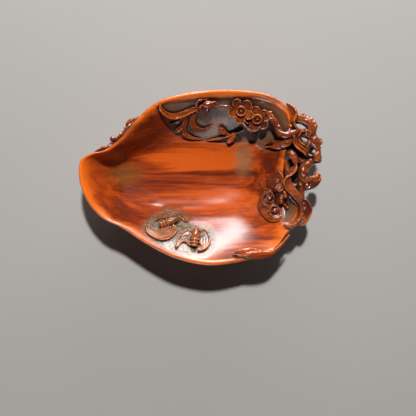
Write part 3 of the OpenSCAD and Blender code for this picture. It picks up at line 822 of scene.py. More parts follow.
class CARVE_OT_bowl(CarveOperator, bpy.types.Operator):
    """Make the peach-shaped bowl with its rounded lip and its oval foot"""

    bl_idname = "carve.bowl"
    bl_label = "Bowl"

    def build(self, dish, bowl):
        mesh = bowl_mesh(bowl, dish.around, dish.wall_rows)
        finished("bowl", "dish_bowl", mesh, "bowl_wood")
        self.foot()

    def foot(self):
        """An oval ring with eased edges under the floor."""
        low, high = (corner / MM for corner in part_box("foot_ring"))
        half_w = high.y
        reach = high.x - half_w
        wall, top, base, ease = 5.0, high.z + 0.6, low.z, 0.6
        section = [(0, top), (0.1, base + ease), (ease, base), (wall - ease, base), (wall - 0.1, base + ease),
                   (wall, top)]
        around = 128
        co = []
        for i in range(around):
            a = 2 * math.pi * i / around
            side = 1 if math.cos(a) >= 0 else -1
            for inset, z in section:
                r = half_w - inset
                co.append((side * reach + r * math.cos(a), r * math.sin(a), z))
        n = len(section)
        faces = [(i * n + k, ((i + 1) % around) * n + k, ((i + 1) % around) * n + (k + 1) % n,
                  i * n + (k + 1) % n) for i in range(around) for k in range(n)]
        mesh = mesh_of("foot", co, faces)
        face_outwards(mesh)
        foot = finished("foot", "foot_ring", mesh, "foot_wood")
        foot.data.set_sharp_from_angle(angle=math.radians(50))


class CARVE_OT_leaves(CarveOperator, bpy.types.Operator):
    """Carve the leaves inside the bowl and the one folded over the lip"""

    bl_idname = "carve.leaves"
    bl_label = "Leaves"

    def build(self, dish, bowl):
        fine = dish.skin / MM
        at, edges = bowl.inside, bowl.edges
        carve("long leaf", "long_leaf", "leaf_wood", [
            blade(edges([[-26, 48, 2.2, -27, 47, 2.4], [-24.6, 45.2, 1.6, -26.8, 44.4, 2.9],
                         [-21.4, 43.4, 1, -24.8, 42, 3.3], [-18, 43.2, 0.8, -21.6, 40.1, 3.6],
                         [-14.5, 43.8, 0.8, -17.6, 39.4, 3.8], [-10.5, 45.2, 1, -13.4, 40.2, 3.8],
                         [-6, 46.8, 1.4, -9, 42.1, 3.6], [-2, 47.6, 1.8, -4, 44.3, 3.4],
                         [3, 48.6, 2.4, 2, 46, 3]]), 0.1),
            limbs([at([[-26.8, 47.4, 2.2, 0.4], [-26.6, 44.6, 2.8, 0.6], [-24.8, 42.1, 3.2, 0.65],
                       [-21.6, 40.2, 3.5, 0.7], [-17.6, 39.5, 3.7, 0.75], [-13.4, 40.3, 3.7, 0.7],
                       [-9, 42.2, 3.5, 0.65], [-3, 44.8, 3.2, 0.6]])])], fine * 0.85, 8)
        carve("blade leaf", "blade_leaf", "leaf_wood", [
            blade(edges([[-21, 36.4, 0.8, -21, 35.6, 0.6], [-17, 38.2, 1.6, -16.6, 36.6, 1.6],
                         [-13, 39.9, 2.2, -12.4, 38.2, 2], [-8, 42, 2, -7.6, 40.6, 2]]), 0.1)], fine)
        carve("blade leaf tip", "blade_leaf_tip", "leaf_wood", [
            blade(edges([[-18.4, 31.4, 0.4, -18, 30.8, 0.4], [-16.8, 33.8, 1.5, -15.4, 31.6, 1.4],
                         [-14.4, 35.6, 1.8, -12.8, 33.4, 1.8], [-11.5, 38, 1.8, -10.5, 36, 1.8]]), 0.15)],
            fine)
        carve("outer crescent leaf", "crescent_leaf_outer", "leaf_wood", [
            blade(edges([[-4.6, 43, 2, -5, 43.6, 2], [-8, 39.6, 2.2, -9.4, 40.6, 2.6],
                         [-9.8, 36.4, 2.2, -12.2, 37.6, 3], [-10.2, 33.6, 2, -13.4, 34, 3],
                         [-9.2, 31.2, 1.8, -12.8, 30.4, 2.8], [-6.6, 29.6, 1.6, -9.2, 27.9, 2.4],
                         [-3, 28.6, 1, -4.2, 27, 1.6], [0.6, 28, 0.6, 0.4, 27.2, 0.7]]), 0.12)], fine)
        carve("inner crescent leaf", "crescent_leaf_inner", "leaf_wood", [
            blade(edges([[-1, 44.8, 2.4, -2, 45, 2.4], [-3.4, 41.8, 2.6, -5.2, 42.6, 3],
                         [-4, 38.6, 2.4, -7.2, 39.6, 3.4], [-3.2, 36.2, 2.2, -7.4, 35.6, 3.4],
                         [-1, 34.8, 2, -4.8, 32.6, 3], [2.4, 34.6, 1.6, 0.4, 31.8, 2.4],
                         [5, 35.6, 1, 4.4, 33.6, 1.6], [7.6, 36.6, 0.6, 7.6, 36, 0.6]]), 0.12)], fine)
        carve("forked leaf", "forked_leaf", "leaf_wood", [
            limbs([at([[62, 26.8, 1.4, 1.3], [59.4, 24.8, 2.2, 2.2], [56, 22.8, 2.4, 2.8], [52, 22, 2, 2.2],
                       [48, 22, 1.2, 1.2]]),
                   at([[54, 23.2, 2, 1.4], [50.5, 24.2, 2, 1.2], [46.6, 24.4, 1.4, 0.95],
                       [42.6, 23.2, 0.5, 0.35]]),
                   at([[54, 21, 2, 1.4], [50.5, 20.4, 1.8, 1.5], [46.8, 21.2, 1.2, 1],
                       [43, 21.4, 0.4, 0.35]])], 0.8, 0.15)], fine)
        carve("edge leaf", "edge_leaf", "leaf_wood", [
            blade([[56.6, 49.6, 33, 56, 49.2, 32.4], [60.2, 47.2, 34.4, 57.2, 46.6, 32.2],
                   [62.6, 44, 35, 58.3, 43.4, 31.8], [62.6, 41, 34.8, 58.7, 40.4, 31.6],
                   [61.3, 37.8, 34.4, 58.9, 37.6, 31.4], [61.8, 34.8, 34, 59.6, 34.6, 31.2],
                   [63.4, 32.8, 33.4, 61.2, 32.2, 31], [66.4, 31.8, 32.8, 64.2, 30.9, 30.8],
                   [68.4, 30.8, 32, 67.2, 30, 30.8]], 0.16, 3),
            limbs([[[56.2, 49.6, 32.8, 0.5], [60, 47.2, 34.2, 0.75], [62.4, 44, 34.8, 0.9],
                    [62.4, 41, 34.6, 0.95], [61.2, 37.8, 34.2, 0.95], [61.7, 34.8, 33.8, 0.95],
                    [63.3, 32.8, 33.2, 0.9], [66.2, 31.7, 32.6, 0.85], [68.2, 30.8, 31.8, 0.6]]])], fine)
        carve("loop leaf", "loop_leaf", "leaf_wood", [
            blade([[66.8, 30.8, 31.8, 65.2, 31.2, 31.6], [65, 28.6, 31.8, 62.2, 29.6, 32.6],
                   [64.6, 26.6, 31.4, 61.3, 27, 33], [65, 24.4, 31, 61.1, 24, 33],
                   [66.4, 23, 30.8, 62.6, 21.3, 32.8], [68.6, 21.8, 30.4, 65, 18.9, 32.2],
                   [70.6, 19.8, 29.8, 68, 17.1, 31.2], [71.6, 17.4, 29.2, 69.4, 15.2, 30]], 0.14, 3),
            limbs([[[65.6, 31, 31.8, 0.6], [62.2, 29.6, 32.6, 0.8], [61.3, 27, 33, 0.85],
                    [61.1, 24, 33, 0.85], [62.6, 21.3, 32.7, 0.85], [65, 18.9, 32.1, 0.85],
                    [68, 17.1, 31, 0.8], [69.6, 15, 29.8, 0.6]],
                   [[66.8, 30.8, 31.9, 0.5], [65, 28.6, 31.9, 0.6], [64.7, 26.4, 31.6, 0.6],
                    [65.2, 24.2, 31.3, 0.6], [66.6, 23, 31.1, 0.6], [69, 21.6, 30.6, 0.6]],
                   [[64.6, 22.6, 31.6, 0.4], [67, 20.4, 31.2, 0.5], [69.6, 18.2, 30.4, 0.4]]])], fine)
        carve("rim leaf fold", "rim_leaf_fold", "leaf_wood", [
            blade([[20.6, -50.2, 35, 20.6, -51, 34.8], [23.2, -47.8, 36.4, 25.6, -50.6, 36.6],
                   [27.6, -46.2, 36.8, 30.4, -51.2, 37], [32.4, -45.7, 36.8, 35, -52.4, 36.2],
                   [37, -46.6, 36.4, 39.6, -51.8, 35.8], [41, -47.9, 35.8, 43.4, -51.6, 35.2],
                   [45.6, -48, 35, 47.6, -50.2, 34.4], [49.6, -45.8, 34.2, 51.4, -47, 33.4],
                   [54, -41.6, 33.4, 55.4, -42.4, 32.6], [58, -37.2, 32.4, 58.8, -37.6, 32]], -0.1, 3),
            limbs([[[27, -50.2, 36.4, 0.5], [31, -49.8, 37.2, 0.9], [35.6, -49, 37.2, 0.9],
                    [40, -48.8, 36.2, 0.6]],
                   [[24, -50.9, 35.4, 0.6], [30, -51.8, 36, 0.9], [36, -52.4, 35.4, 0.9],
                    [43, -51.8, 34.6, 0.8], [48, -49.8, 33.8, 0.6]]])], fine, wood="lip_wood")


class CARVE_OT_flowers(CarveOperator, bpy.types.Operator):
    """Carve the two blossoms with their stump, the rosebud, the buds and the berries"""

    bl_idname = "carve.flowers"
    bl_label = "Flowers and Buds"

    def build(self, dish, bowl):
        fine = dish.skin / MM
        at = bowl.inside
        self.blossom("left blossom", "blossom_left", bowl, 26.5, 44, 47, dish)
        self.blossom("right blossom", "blossom_right", bowl, 37.2, 39, 33, dish)
        carve("blossom stump", "blossom_stalk", "flower_wood", [
            limbs([at([[25, 43, 1, 3.6], [30, 38, 1.2, 4.2], [34.5, 32.5, 1, 3.2], [34.6, 29.6, 0.6, 2],
                       [34.6, 27.4, 0.2, 1]]),
                   at([[32, 38, 1, 3], [40, 36.5, 2, 3.6], [46, 38.5, 2.4, 2.4]])], 0.9)], fine,
            wood="shaded_wood")
        z = float(bowl.inner_z(3.6, 48))
        carve("rosebud", "rosebud", "flower_wood", [
            beads([[4.5, 48, z + 4.2, 3.8, 2.7, 2.6, 0, 0, 6], [7.8, 49, z + 3.2, 1.3, 2, 2, 0, 0, 12],
                   [3.6, 51.3, z + 2.5, 2.6, 0.9, 1.4, 0, 0, -12],
                   [0.6, 51.2, z + 2.8, 1.2, 0.8, 1.3, 0, 0, 40]]),
            limbs([at([[0.4, 50.6, 2, 0.9], [-2, 50.2, 2.6, 0.8], [-3.1, 48, 2.6, 0.75],
                       [-2.4, 46, 2, 0.5]]),
                   at([[0.6, 48.2, 2, 1], [-0.6, 46.6, 2.6, 0.8], [0.9, 44, 2, 0.6]]),
                   at([[4.6, 46.4, 2, 1.5], [3.8, 44, 2.2, 1.3], [2.6, 41.9, 1.2, 0.7]]),
                   at([[7.4, 49.6, 2.4, 1.2], [9.8, 49.4, 2.8, 0.8], [11.4, 47.8, 2.8, 0.7]]),
                   at([[2, 47.4, 0.8, 2.4], [6, 48.4, 0.8, 2.6]])])], fine * 0.9, wood="lip_wood")
        z = float(bowl.inner_z(13.6, 32.7))
        carve("small bud", "small_bud", "flower_wood", [
            beads([[13.6, 33.2, z + 2.2, 2.3, 2, 2.1], [15.3, 31.7, z + 1.9, 2.3, 1.9, 1.9, 0, 0, -30],
                   [12.6, 34.9, z + 2, 1, 1, 1.1]]),
            limbs([at([[15, 32, 1.4, 1.2], [17.4, 30.8, 1.4, 0.8], [20, 30, 1, 0.7]])])], fine,
            wood="lip_wood")
        carve("teardrop bud", "teardrop_bud", "flower_wood", [
            limbs([at([[25, 31.4, 1.6, 0.8], [23, 29.4, 2, 1.3], [21, 27.6, 2.2, 1.9], [19.4, 26, 2, 2],
                       [18.2, 24.8, 1.4, 1]])], 0.95)], fine, wood="lip_wood")
        carve("berries", "berries", "flower_wood", [
            beads([[55.4, -9.4, 31, 1.1, 1.2, 1.2], [56, -11.5, 30.2, 1.4, 1.9, 1.6],
                   [53.5, -13.2, 28.6, 1, 1.1, 1.1], [53.4, -15.6, 27.8, 1.5, 1.8, 1.6],
                   [57.6, -19.4, 27.4, 0.9, 0.9, 0.9]]),
            limbs([[[56, -8, 28.6, 0.7], [55.4, -12, 28, 0.8], [54.6, -15.6, 26, 0.8],
                    [57.5, -19.5, 26.2, 0.6]]])], fine, wood="lip_wood")

    def blossom(self, name, node, bowl, x, y, start, dish):
        """Five cupped petals with rolled rims round a raised ring of stamens."""
        size = dish.blossom / MM
        petal = size * 0.385
        reach = size - petal
        slope = 0.2
        z = float(bowl.inner_z(x, y)) + 5.6

        def level(px, py):
            """The flower's own plane, which leans with the wall."""
            return z + slope * (py - y)

        parts = []
        for k in range(5):
            a = math.radians(start + 72 * k)
            way = np.array([math.cos(a), math.sin(a)])
            middle = np.array([x, y]) + way * reach
            ring = [middle + petal * np.array([math.cos(b), math.sin(b)])
                    for b in np.linspace(0, 2 * math.pi, 16, endpoint=False)]

            def top(px, py, share, way=way, middle=middle):
                out = ((px - middle[0]) * way[0] + (py - middle[1]) * way[1]) / petal
                rim = smoothstep(share, 0.7, 0.86) * smoothstep(out, -0.35, 0.25)
                return level(px, py) + 1.5 * rim - 0.6 + 0.3 * out

            parts.append(slab(ring, top, lambda px, py: level(px, py) - 2.6, 14, 60, middle))
        parts.append(slab([(x + 4.4 * math.cos(b), y + 4.4 * math.sin(b)) for b in np.linspace(0, 5.5, 8)],
                          lambda px, py, share: level(px, py) - 0.7, lambda px, py: level(px, py) - 5, 6))
        parts.append(limbs([hoop((x, y, z + 0.9), 2.9, 0.68, (0, slope))], steps=1))
        parts.append(beads([[x, y, z + 0.5, 0.85, 0.85, 1]]))
        stamens = [[[x + r * math.cos(b), y + r * math.sin(b), z + h + slope * r * math.sin(b), 0.3]
                    for r, h in ((1.2, -0.2), (1.9, 0.3), (2.5, 0.8))]
                   for b in np.linspace(0, 2 * math.pi, 11)[:-1]]
        parts.append(limbs(stamens, sides=8, steps=2))
        carve(name, node, "flower_wood", parts, dish.skin / MM * 0.8, 4)


class CARVE_OT_branches(CarveOperator, bpy.types.Operator):
    """Carve the twigs, the main branch, the openwork trunks and the vine"""

    bl_idname = "carve.branches"
    bl_label = "Branches"

    def build(self, dish, bowl):
        fine = dish.skin / MM
        at = bowl.inside
        carve("blossom twig", "blossom_twig", "branch_wood", [
            limbs([at([[8, 48, 2.6, 1.2], [11, 47.6, 3, 1], [14.4, 47.4, 3.2, 0.95], [17.6, 47.3, 3.2, 1.1],
                       [20.5, 46, 3, 1.3]])])], fine)
        carve("lower twig", "lower_twig", "branch_wood", [
            limbs([at([[3.6, 26.4, 0.4, 0.35], [8.6, 27.2, 1.2, 0.7], [13.5, 27.9, 1.6, 0.85],
                       [18.6, 29.4, 1.8, 0.95], [23, 31, 2, 1.1], [28, 33, 2, 1.4], [32, 35.4, 1.8, 1.6]])])],
            fine)
        cut_end = (46.3, 40.3, float(bowl.inner_z(46.3, 40.3)) + 5.9)
        carve("main branch", "main_branch", "branch_wood", [
            limbs([at([[42, 38.6, 3, 1.8], [46.2, 39.6, 3.8, 2.1], [48, 38.4, 4.2, 2.2],
                       [49.6, 35.8, 4.3, 2.4], [50.8, 32.4, 4.2, 2.4],
                       [52.8, 29.2, 4.2, 2.5], [56.2, 28.2, 4, 2.5],
                       [59.8, 29.4, 3.2, 2.4], [63.4, 31, 1.8, 2]]),
                   at([[46, 39, 3.6, 1.8], [45.8, 42.2, 4.2, 1.9]]),
                   at([[56.8, 29, 3.8, 1.9], [58.2, 31.4, 3.6, 1.3], [58.8, 34, 3.2, 1]]),
                   at([[43.4, 42.4, 3.4, 0.6], [44.8, 43.4, 4, 1], [46.6, 42.6, 4.6, 1.3]])]),
            limbs([hoop(cut_end, 1.25, 0.55, (0.1, -0.1))], steps=1),
            beads([ball(*p) for p in at([(51.2, 33.6, 5.4, 1.6), (53, 29.6, 5.6, 1.7),
                                         (47.6, 37, 4.6, 1.6), (58.9, 34, 3.8, 1.2)])])], fine, 8)
        carve("ring branch", "ring_branch", "branch_wood", [
            limbs([[[61.5, 38.6, 30, 2.6], [64.2, 39, 30.8, 3.1], [67.6, 38.8, 31.4, 3.3],
                    [70.8, 37.2, 31.8, 3.4], [73, 34.4, 31.8, 3.5], [73.5, 31.4, 31.2, 3.1],
                    [73.2, 28.4, 30.6, 2.8]],
                   [[65.8, 31.2, 31, 1.1], [68.2, 31.2, 31.4, 1.4], [71.4, 31.8, 31.4, 2]],
                   [[69.2, 31, 31, 1.3], [69.6, 28.8, 31, 1.3], [72, 27.6, 31, 1.9]],
                   [[62, 39.4, 25, 3], [68, 39.2, 26, 3.4], [73, 35, 26, 3.2], [73.6, 28, 26, 3.2]],
                   [[62.6, 31, 24, 2.4], [65.6, 26.4, 23.6, 2], [67, 22, 23.6, 2.4]]], sides=20),
            limbs([hoop((67.2, 41.2, 33.8), 1.15, 0.55, (0, -0.5))], steps=1),
            beads([ball(64.6, 40.8, 32.9, 1.5), ball(72.5, 38.4, 33.6, 1.7), ball(74.3, 36.4, 34.2, 1.5),
                   ball(75.2, 34, 33.6, 1.8), ball(67.2, 31, 32.4, 1.1), ball(69.5, 31.2, 32.8, 1.3),
                   ball(69.6, 28.6, 32.2, 1.4), [72.2, 30, 33, 1.5, 2, 1.4]])], fine, 9)
        carve("gnarled trunk", "gnarled_trunk", "branch_wood", [
            limbs([[[58, 33, 26, 2.8], [64.6, 30.4, 27.6, 2.6], [70, 29.2, 28.6, 2.8],
                    [73.6, 27.2, 29.6, 3.1], [75.2, 24.2, 29.8, 3.8], [76.8, 21, 29.6, 2.7],
                    [77.9, 18.4, 29.6, 1.7], [77.5, 16, 29.4, 2.4], [77.2, 13.6, 29, 3.2],
                    [78.2, 11.6, 28, 2.3], [78.6, 10.5, 27.4, 1.4]],
                   [[74.6, 25, 29.8, 2.8], [71.9, 23.4, 30, 2.3], [70.8, 21.6, 29.6, 1.7],
                    [70.4, 18.8, 28, 1.4]],
                   [[77, 13.4, 26.6, 2.2], [72.4, 15.4, 24.6, 3], [66.6, 17, 23.6, 3.4],
                    [60.8, 18.4, 23, 3.4], [56, 19.4, 22, 3]],
                   [[74.4, 24, 26, 3.4], [71.6, 19.4, 24.6, 3.2], [67, 16.4, 23.6, 3]],
                   [[58, 24, 22.6, 3], [62, 21, 22.6, 3], [68, 20, 23.2, 3]]], sides=20),
            beads([ball(74.6, 25.4, 31.6, 2.4), ball(78.9, 23.6, 30.4, 1.8), ball(78.7, 25.6, 30.2, 1.4),
                   ball(71.6, 23.1, 31.2, 1.8), [76, 15.6, 30.4, 2.1, 1.6, 1.9, 0, 0, -20],
                   ball(78.5, 20.4, 30, 1.2)])], fine, 9)
        carve("rim vine", "rim_vine", "branch_wood", [
            blade([[63.6, 8.4, 32.4, 61.8, 9, 31.2], [62.6, 5, 32.8, 59.6, 6.8, 29.8],
                   [60.2, 2.6, 33, 57.6, 4.6, 29.4], [57.6, 1, 33, 56.4, 2.4, 29.6]], 0.1, 3),
            blade([[58.6, 1.2, 31.4, 56.8, 1.2, 32.6], [60, -1.4, 31, 55.2, -1.2, 32.8],
                   [60.6, -3.6, 31, 54.7, -3.9, 33], [62.6, -6.4, 31.2, 56.3, -6.9, 33],
                   [65.2, -9.6, 31.6, 59.7, -10.3, 33], [67, -12.6, 31.8, 62.4, -13.2, 33],
                   [66.8, -15.4, 32.2, 64.6, -15.8, 32.8]], 0.14, 3),
            limbs([[[57.4, 16.6, 28.6, 2], [59.4, 16.2, 29.8, 2.9], [61.2, 14, 30.6, 2.8],
                    [62, 11.2, 31.4, 1.7], [62.8, 8.6, 32, 1], [62.8, 6.4, 32.4, 0.9],
                    [61.6, 4, 32.6, 0.9], [59.2, 2, 32.6, 0.9], [56.8, 0.6, 32.6, 0.9],
                    [55.1, -1.5, 32.6, 0.95],
                    [54.7, -3.9, 32.6, 0.95], [56.3, -6.9, 32.6, 1], [59.7, -10.3, 32.6, 1],
                    [62.4, -13.2, 32.6, 1.1], [64.6, -15.8, 32.6, 1.3], [65.9, -18.8, 32.6, 1.3],
                    [66.3, -22.2, 32.6, 1.3], [65.8, -25.4, 32.8, 1.3], [63.9, -28.5, 33, 1.4],
                    [61.2, -31, 33, 1.5], [58.6, -31.8, 32.6, 1.4], [56.4, -31.2, 31.8, 1],
                    [54.7, -30, 31, 0.5]]]),
            limbs([[[55.6, -32.6, 30.4, 1.6], [60, -31.6, 29.6, 2], [64.6, -26.4, 29, 2], [65.4, -19, 29, 2],
                    [61, -12.6, 28, 2.6], [57, -6.4, 27.6, 2.8], [56.6, 0, 27, 2.6]],
                   [[56, 12, 26.4, 2.4], [57.6, 6, 26, 2.6], [57, 1, 26.4, 2.4]]])], fine)
        carve("middle trunk", "middle_trunk", "branch_wood", [
            limbs([[[77, 11.6, 26, 1.8], [74.2, 11, 27.2, 2.3], [71.4, 9.8, 27.6, 3],
                    [68.8, 7.6, 27.4, 3.3], [67.8, 4.2, 27, 3.7], [68, 0.8, 26.8, 3.5], [70.4, -1, 27, 2.8],
                    [73.8, -0.4, 27.4, 2.3], [77, 0.8, 27.4, 1.9]],
                   [[70.8, 9.6, 26.6, 2.6], [66, 12, 26.4, 2.1], [61.6, 13.6, 27, 2]],
                   [[68, 2, 26, 2.8], [67, -4, 25, 3], [66.6, -9, 25.4, 2.6], [67.6, -14, 26, 2],
                    [69, -20, 25.4, 1.9]],
                   [[69, 6, 23, 3.4], [63, 3, 22, 3.6], [56, -0.5, 21, 3.4]],
                   [[67, -4, 23, 3.2], [61, -5.4, 22.6, 3.4], [55, -8, 22, 3.2]],
                   [[66, 12, 22.6, 3], [60, 10, 22, 3.4], [56, 8, 21.6, 3]]], sides=20),
            beads([[70.2, 9.4, 30, 2, 1.5, 1.4, 0, 0, 40], ball(72.6, 11.6, 29.4, 1.7),
                   [67.4, 4.6, 30.2, 1.5, 2, 1.3], ball(67.8, 1, 29.8, 1.6), ball(72.6, 0, 29.4, 1.5),
                   ball(74.8, 12, 28.8, 1.3), ball(66.2, -4.4, 27.6, 1.5)])], fine, 9)


class CARVE_OT_fungi(CarveOperator, bpy.types.Operator):
    """Carve the shelf-fungus heads with their rolled rims and scrolls"""

    bl_idname = "carve.fungi"
    bl_label = "Fungus Heads"

    def build(self, dish, bowl):
        fine = dish.skin / MM

        def head(outline, wall, height, pits, middle=None):
            """A domed plaque with a rounded edge and a pit round the middle of each scroll."""
            def top(x, y, share):
                z = wall(x, y) + height * (1 - share**6 * 0.45)
                for px, py, r in pits:
                    z = z - 1.5 * np.exp(-(((x - px) ** 2 + (y - py) ** 2) / r**2) ** 2)
                return z
            return slab(outline, top, lambda x, y: wall(x, y) - 1.5, 20, 110, middle)

        def curl(x, y, z, r, start, turns, way, thick):
            """A scroll that winds in to a small ball."""
            return [limbs([scroll((x, y, z), r, start, turns, way, thick, 0.4)]),
                    beads([[x, y, z + 0.5, r * 0.34, r * 0.34, r * 0.34]])]

        z1 = float(bowl.inner_z(46.2, -13.4)) + 3.2
        z2 = float(bowl.inner_z(49.4, -22.2)) + 3.2
        outline = [(45.2, -6.4), (42.8, -6.6), (40.2, -9), (39.5, -13.2), (38.1, -18.3), (38.9, -21.4),
                   (42.2, -26), (46.6, -28.9), (50.6, -28.6), (53.2, -26), (54.1, -23), (53.2, -20),
                   (51.2, -18.2), (49.2, -16), (49.4, -12.4), (47.8, -8.4)]
        carve("lower fungus", "fungus_lower", "fungus_wood", [
            head(outline, bowl.inner_z, 3.2, [(46.2, -13.4, 2.5), (49.4, -22.2, 3.1)], (45.4, -18.4)),
            *curl(46.2, -13.4, z1, 3.5, 70, 1.25, -1, 0.75), *curl(49.4, -22.2, z2, 4.2, 100, 1.25, 1, 0.95),
            beads([[49.4, -22.2, z2 + 0.4, 1.6, 1.6, 1.5], [46.2, -13.6, z1 + 0.3, 1.1, 1.1, 1.2]]),
            limbs([bowl.inside([[48.2, -9.6, 3, 0.5], [45.6, -8.8, 3.2, 0.7], [42.8, -10.6, 3.4, 0.75],
                                [41.8, -14.2, 3.4, 0.75], [42.4, -17.6, 3.6, 0.75], [45.4, -18.8, 3.8, 0.8],
                                [48.4, -18, 3.8, 0.8]])])], fine)
        outline = [(48.8, 4.6), (50.9, 5.4), (53.4, 4.2), (54.6, 1), (54.9, -2), (55, -5.4), (53.6, -9),
                   (51.2, -9.9), (48.6, -8.6), (46.4, -6.8), (44.2, -3.6), (44.5, -0.6), (46, 1.8),
                   (47.2, 3.6)]
        z3 = float(bowl.inner_z(52.3, -6.6)) + 3.2
        z4 = float(bowl.inner_z(51, -1.6)) + 3.9
        carve("upper fungus", "fungus_upper", "fungus_wood", [
            head(outline, bowl.inner_z, 3.8, [(52.3, -6.6, 1.8), (50.9, -1.8, 1.3)], (49.8, -1.6)),
            *curl(52.3, -6.6, z3, 2.3, 80, 1.2, -1, 0.65), *curl(51, -1.8, z4, 1.8, 60, 1.1, -1, 0.5),
            limbs([bowl.inside([[51.4, 4.4, 3, 0.5], [53.2, 2.4, 3.8, 0.8], [54, -0.6, 3.8, 0.9],
                                [54, -3.6, 3.6, 0.8]])])], fine)
        outline = [(74.6, 3.2), (77.4, 4.2), (80, 2.4), (80.2, -1), (78.8, -4), (75.8, -6.2), (72.4, -7.8),
                   (69.8, -7.4), (68.6, -5.2), (69.6, -2.8), (72.2, -1)]

        def shelf(x, y):
            """The level under the heads that stand outside the bowl."""
            return np.full(np.shape(x), 25.0)

        carve("outer fungus", "fungus_outer", "fungus_wood", [
            head(outline, shelf, 3.2, [(77.2, 1, 2.1), (70.9, -4.9, 1.6)], (75, -2.2)),
            *curl(77.2, 1, 28.2, 2.9, 200, 1.3, 1, 0.8), *curl(70.9, -4.9, 27.8, 2.2, 20, 1.3, -1, 0.65),
            beads([[77.3, 1, 28.4, 1, 1, 1.1], [75.6, -2.6, 27.6, 2.6, 2, 1.4, 0, 0, 40]])], fine)
        outline = [(66.4, -13.6), (70, -14), (72.2, -16.6), (73.8, -20.9), (72.8, -25.1), (70.2, -29.4),
                   (68.2, -31.8), (65.8, -31), (65, -27), (65.6, -21), (65.4, -16)]
        carve("end fungus", "fungus_end", "fungus_wood", [
            head(outline, shelf, 2.4, [(68.4, -17.2, 1.5), (67.6, -27.6, 1.5)], (68.8, -22.4)),
            *curl(68.4, -17.2, 27.2, 2, 200, 1.2, -1, 0.6), *curl(67.6, -27.6, 27.2, 2.1, 160, 1.2, 1, 0.65),
            beads([[68.9, -21.8, 27, 1.9, 2.4, 1.4]]),
            limbs([[[66.4, -13.8, 27, 0.7], [70, -14.6, 27.6, 0.9], [72, -17.2, 27.8, 0.95],
                    [73.3, -21, 27.8, 0.95], [72.2, -25, 27.8, 0.95], [69.8, -29.2, 27.6, 0.95],
                    [67.9, -31.2, 27.4, 0.8]]])], fine)


class CARVE_OT_bats(CarveOperator, bpy.types.Operator):
    """Carve the two bats with ribbed bodies and spread wings"""

    bl_idname = "carve.bats"
    bl_label = "Bats"

    def build(self, dish, bowl):
        self.bat("left bat", "bat_left", bowl, dish, (-28.2, -31.6), (-15.6, -26.8), [
            ([[-30.2, -28.4], [-29.6, -26.2], [-27, -24.2], [-23.6, -22.6], [-20.2, -22.3], [-16.7, -22.9],
              [-13.3, -24.4], [-11, -26.8], [-10.2, -28.6]],
             [[-29.8, -28.2], [-28.4, -26.8], [-26, -26.6], [-23.4, -26.4], [-20, -25.4], [-16.8, -25],
              [-14.4, -26.4], [-12.2, -28.2], [-10.6, -29]]),
            ([[-36.3, -31.6], [-36, -34.4], [-34.3, -36.8], [-31.5, -38.6], [-28, -40.2], [-24.5, -40.7],
              [-21, -39.7], [-18.4, -37.6], [-16.8, -35], [-17.2, -32.6], [-19, -31.4]],
             [[-35.4, -31.4], [-34.4, -33.4], [-32.4, -35.4], [-30.4, -35.6], [-28.4, -35.2],
              [-26.6, -33.6], [-24.4, -32.4], [-22.4, -31.8], [-21, -31.2], [-20.4, -30.6], [-20, -30]])])
        self.bat("right bat", "bat_right", bowl, dish, (-4.7, -46), (-3, -33), [
            ([[-5.6, -36.4], [-7.4, -35.1], [-9.4, -35], [-11.8, -36.2], [-14, -38.5], [-15.8, -41.4],
              [-16.7, -44], [-15.8, -45.8]],
             [[-5.6, -38], [-6.4, -41], [-7.2, -44.4], [-9.2, -43], [-10.8, -42], [-13, -42.3],
              [-14.2, -43.6], [-14.9, -45.2]]),
            ([[-0.6, -36], [0.6, -34.7], [2.2, -34.5], [4.2, -36.6], [5.4, -39.4], [5.6, -42], [4.6, -44.7],
              [2.5, -46.7], [-0.2, -47.8], [-2.4, -47.6]],
             [[-1.2, -37.4], [-0.8, -38], [-0.6, -39], [-0.8, -40.4], [-1, -42], [-0.8, -43.4],
              [0.4, -44.2], [0.4, -45], [-0.8, -45.4], [-2.2, -46.4]])])

    def bat(self, name, node, bowl, dish, tail, head, wings):
        """A ribbed body from tail to head, and a thin wing on each side between its rim and its root."""
        tail, head = np.array(tail), np.array(head)
        way = (head - tail) / np.linalg.norm(head - tail)
        turn = math.degrees(math.atan2(way[1], way[0]))
        middle = (tail + head) / 2
        z = float(bowl.inner_z(*middle))
        rows = [[*middle, z + 1.9, 6.2, 2.8, 2.6, 0, 0, turn]]
        for k in range(5):
            t = k / 4
            p = tail + (head - tail) * (0.13 + 0.58 * t)
            half = 2.1 + 1.1 * math.sin(math.pi * (0.1 + 0.75 * t))
            rows.append([*p, float(bowl.inner_z(*p)) + 2, 1.25, half, half * 0.95, 0, 0, turn])
        p = tail + (head - tail) * 0.86
        z = float(bowl.inner_z(*p))
        rows.append([*p, z + 2.4, 2.1, 2.1, 1.9, 0, 0, turn])
        rows.append([*(p + way * 1.9), z + 1.9, 0.9, 1, 0.9, 0, 0, turn])
        side = np.array([-way[1], way[0]])
        for s in (-1, 1):
            ear = p + side * 1.5 * s + way * 0.5
            rows.append([*ear, z + 2.7, 0.8, 0.7, 0.9, 0, 0, turn])
        parts = [beads(rows, 14)]
        ridges, fingers = [], []
        for outer, inner in wings:
            rim, root = np.array(outer, float), np.array(inner, float)
            n = len(rim)
            parts.append(blade(bowl.edges([[*rim[i], 0.8, *root[i], 0.7] for i in range(n)]), 0.04, 1.8))
            ridges.append(bowl.inside([[*rim[i], 0.95, 0.55 if 0 < i < n - 1 else 0.8] for i in range(n)]))
            ridges.append(bowl.inside([[*root[i], 0.75, 0.34] for i in range(n)]))
            for share in (0.36, 0.66):
                line = rim[1:-1] * (1 - share) + root[1:-1] * share
                fingers.append(bowl.inside([[*q, 0.66, 0.22] for q in line]))
        parts += [limbs(ridges), limbs(fingers, sides=10)]
        carve(name, node, "bat_wood", parts, dish.skin / MM * 0.9 * 0.85, 4)


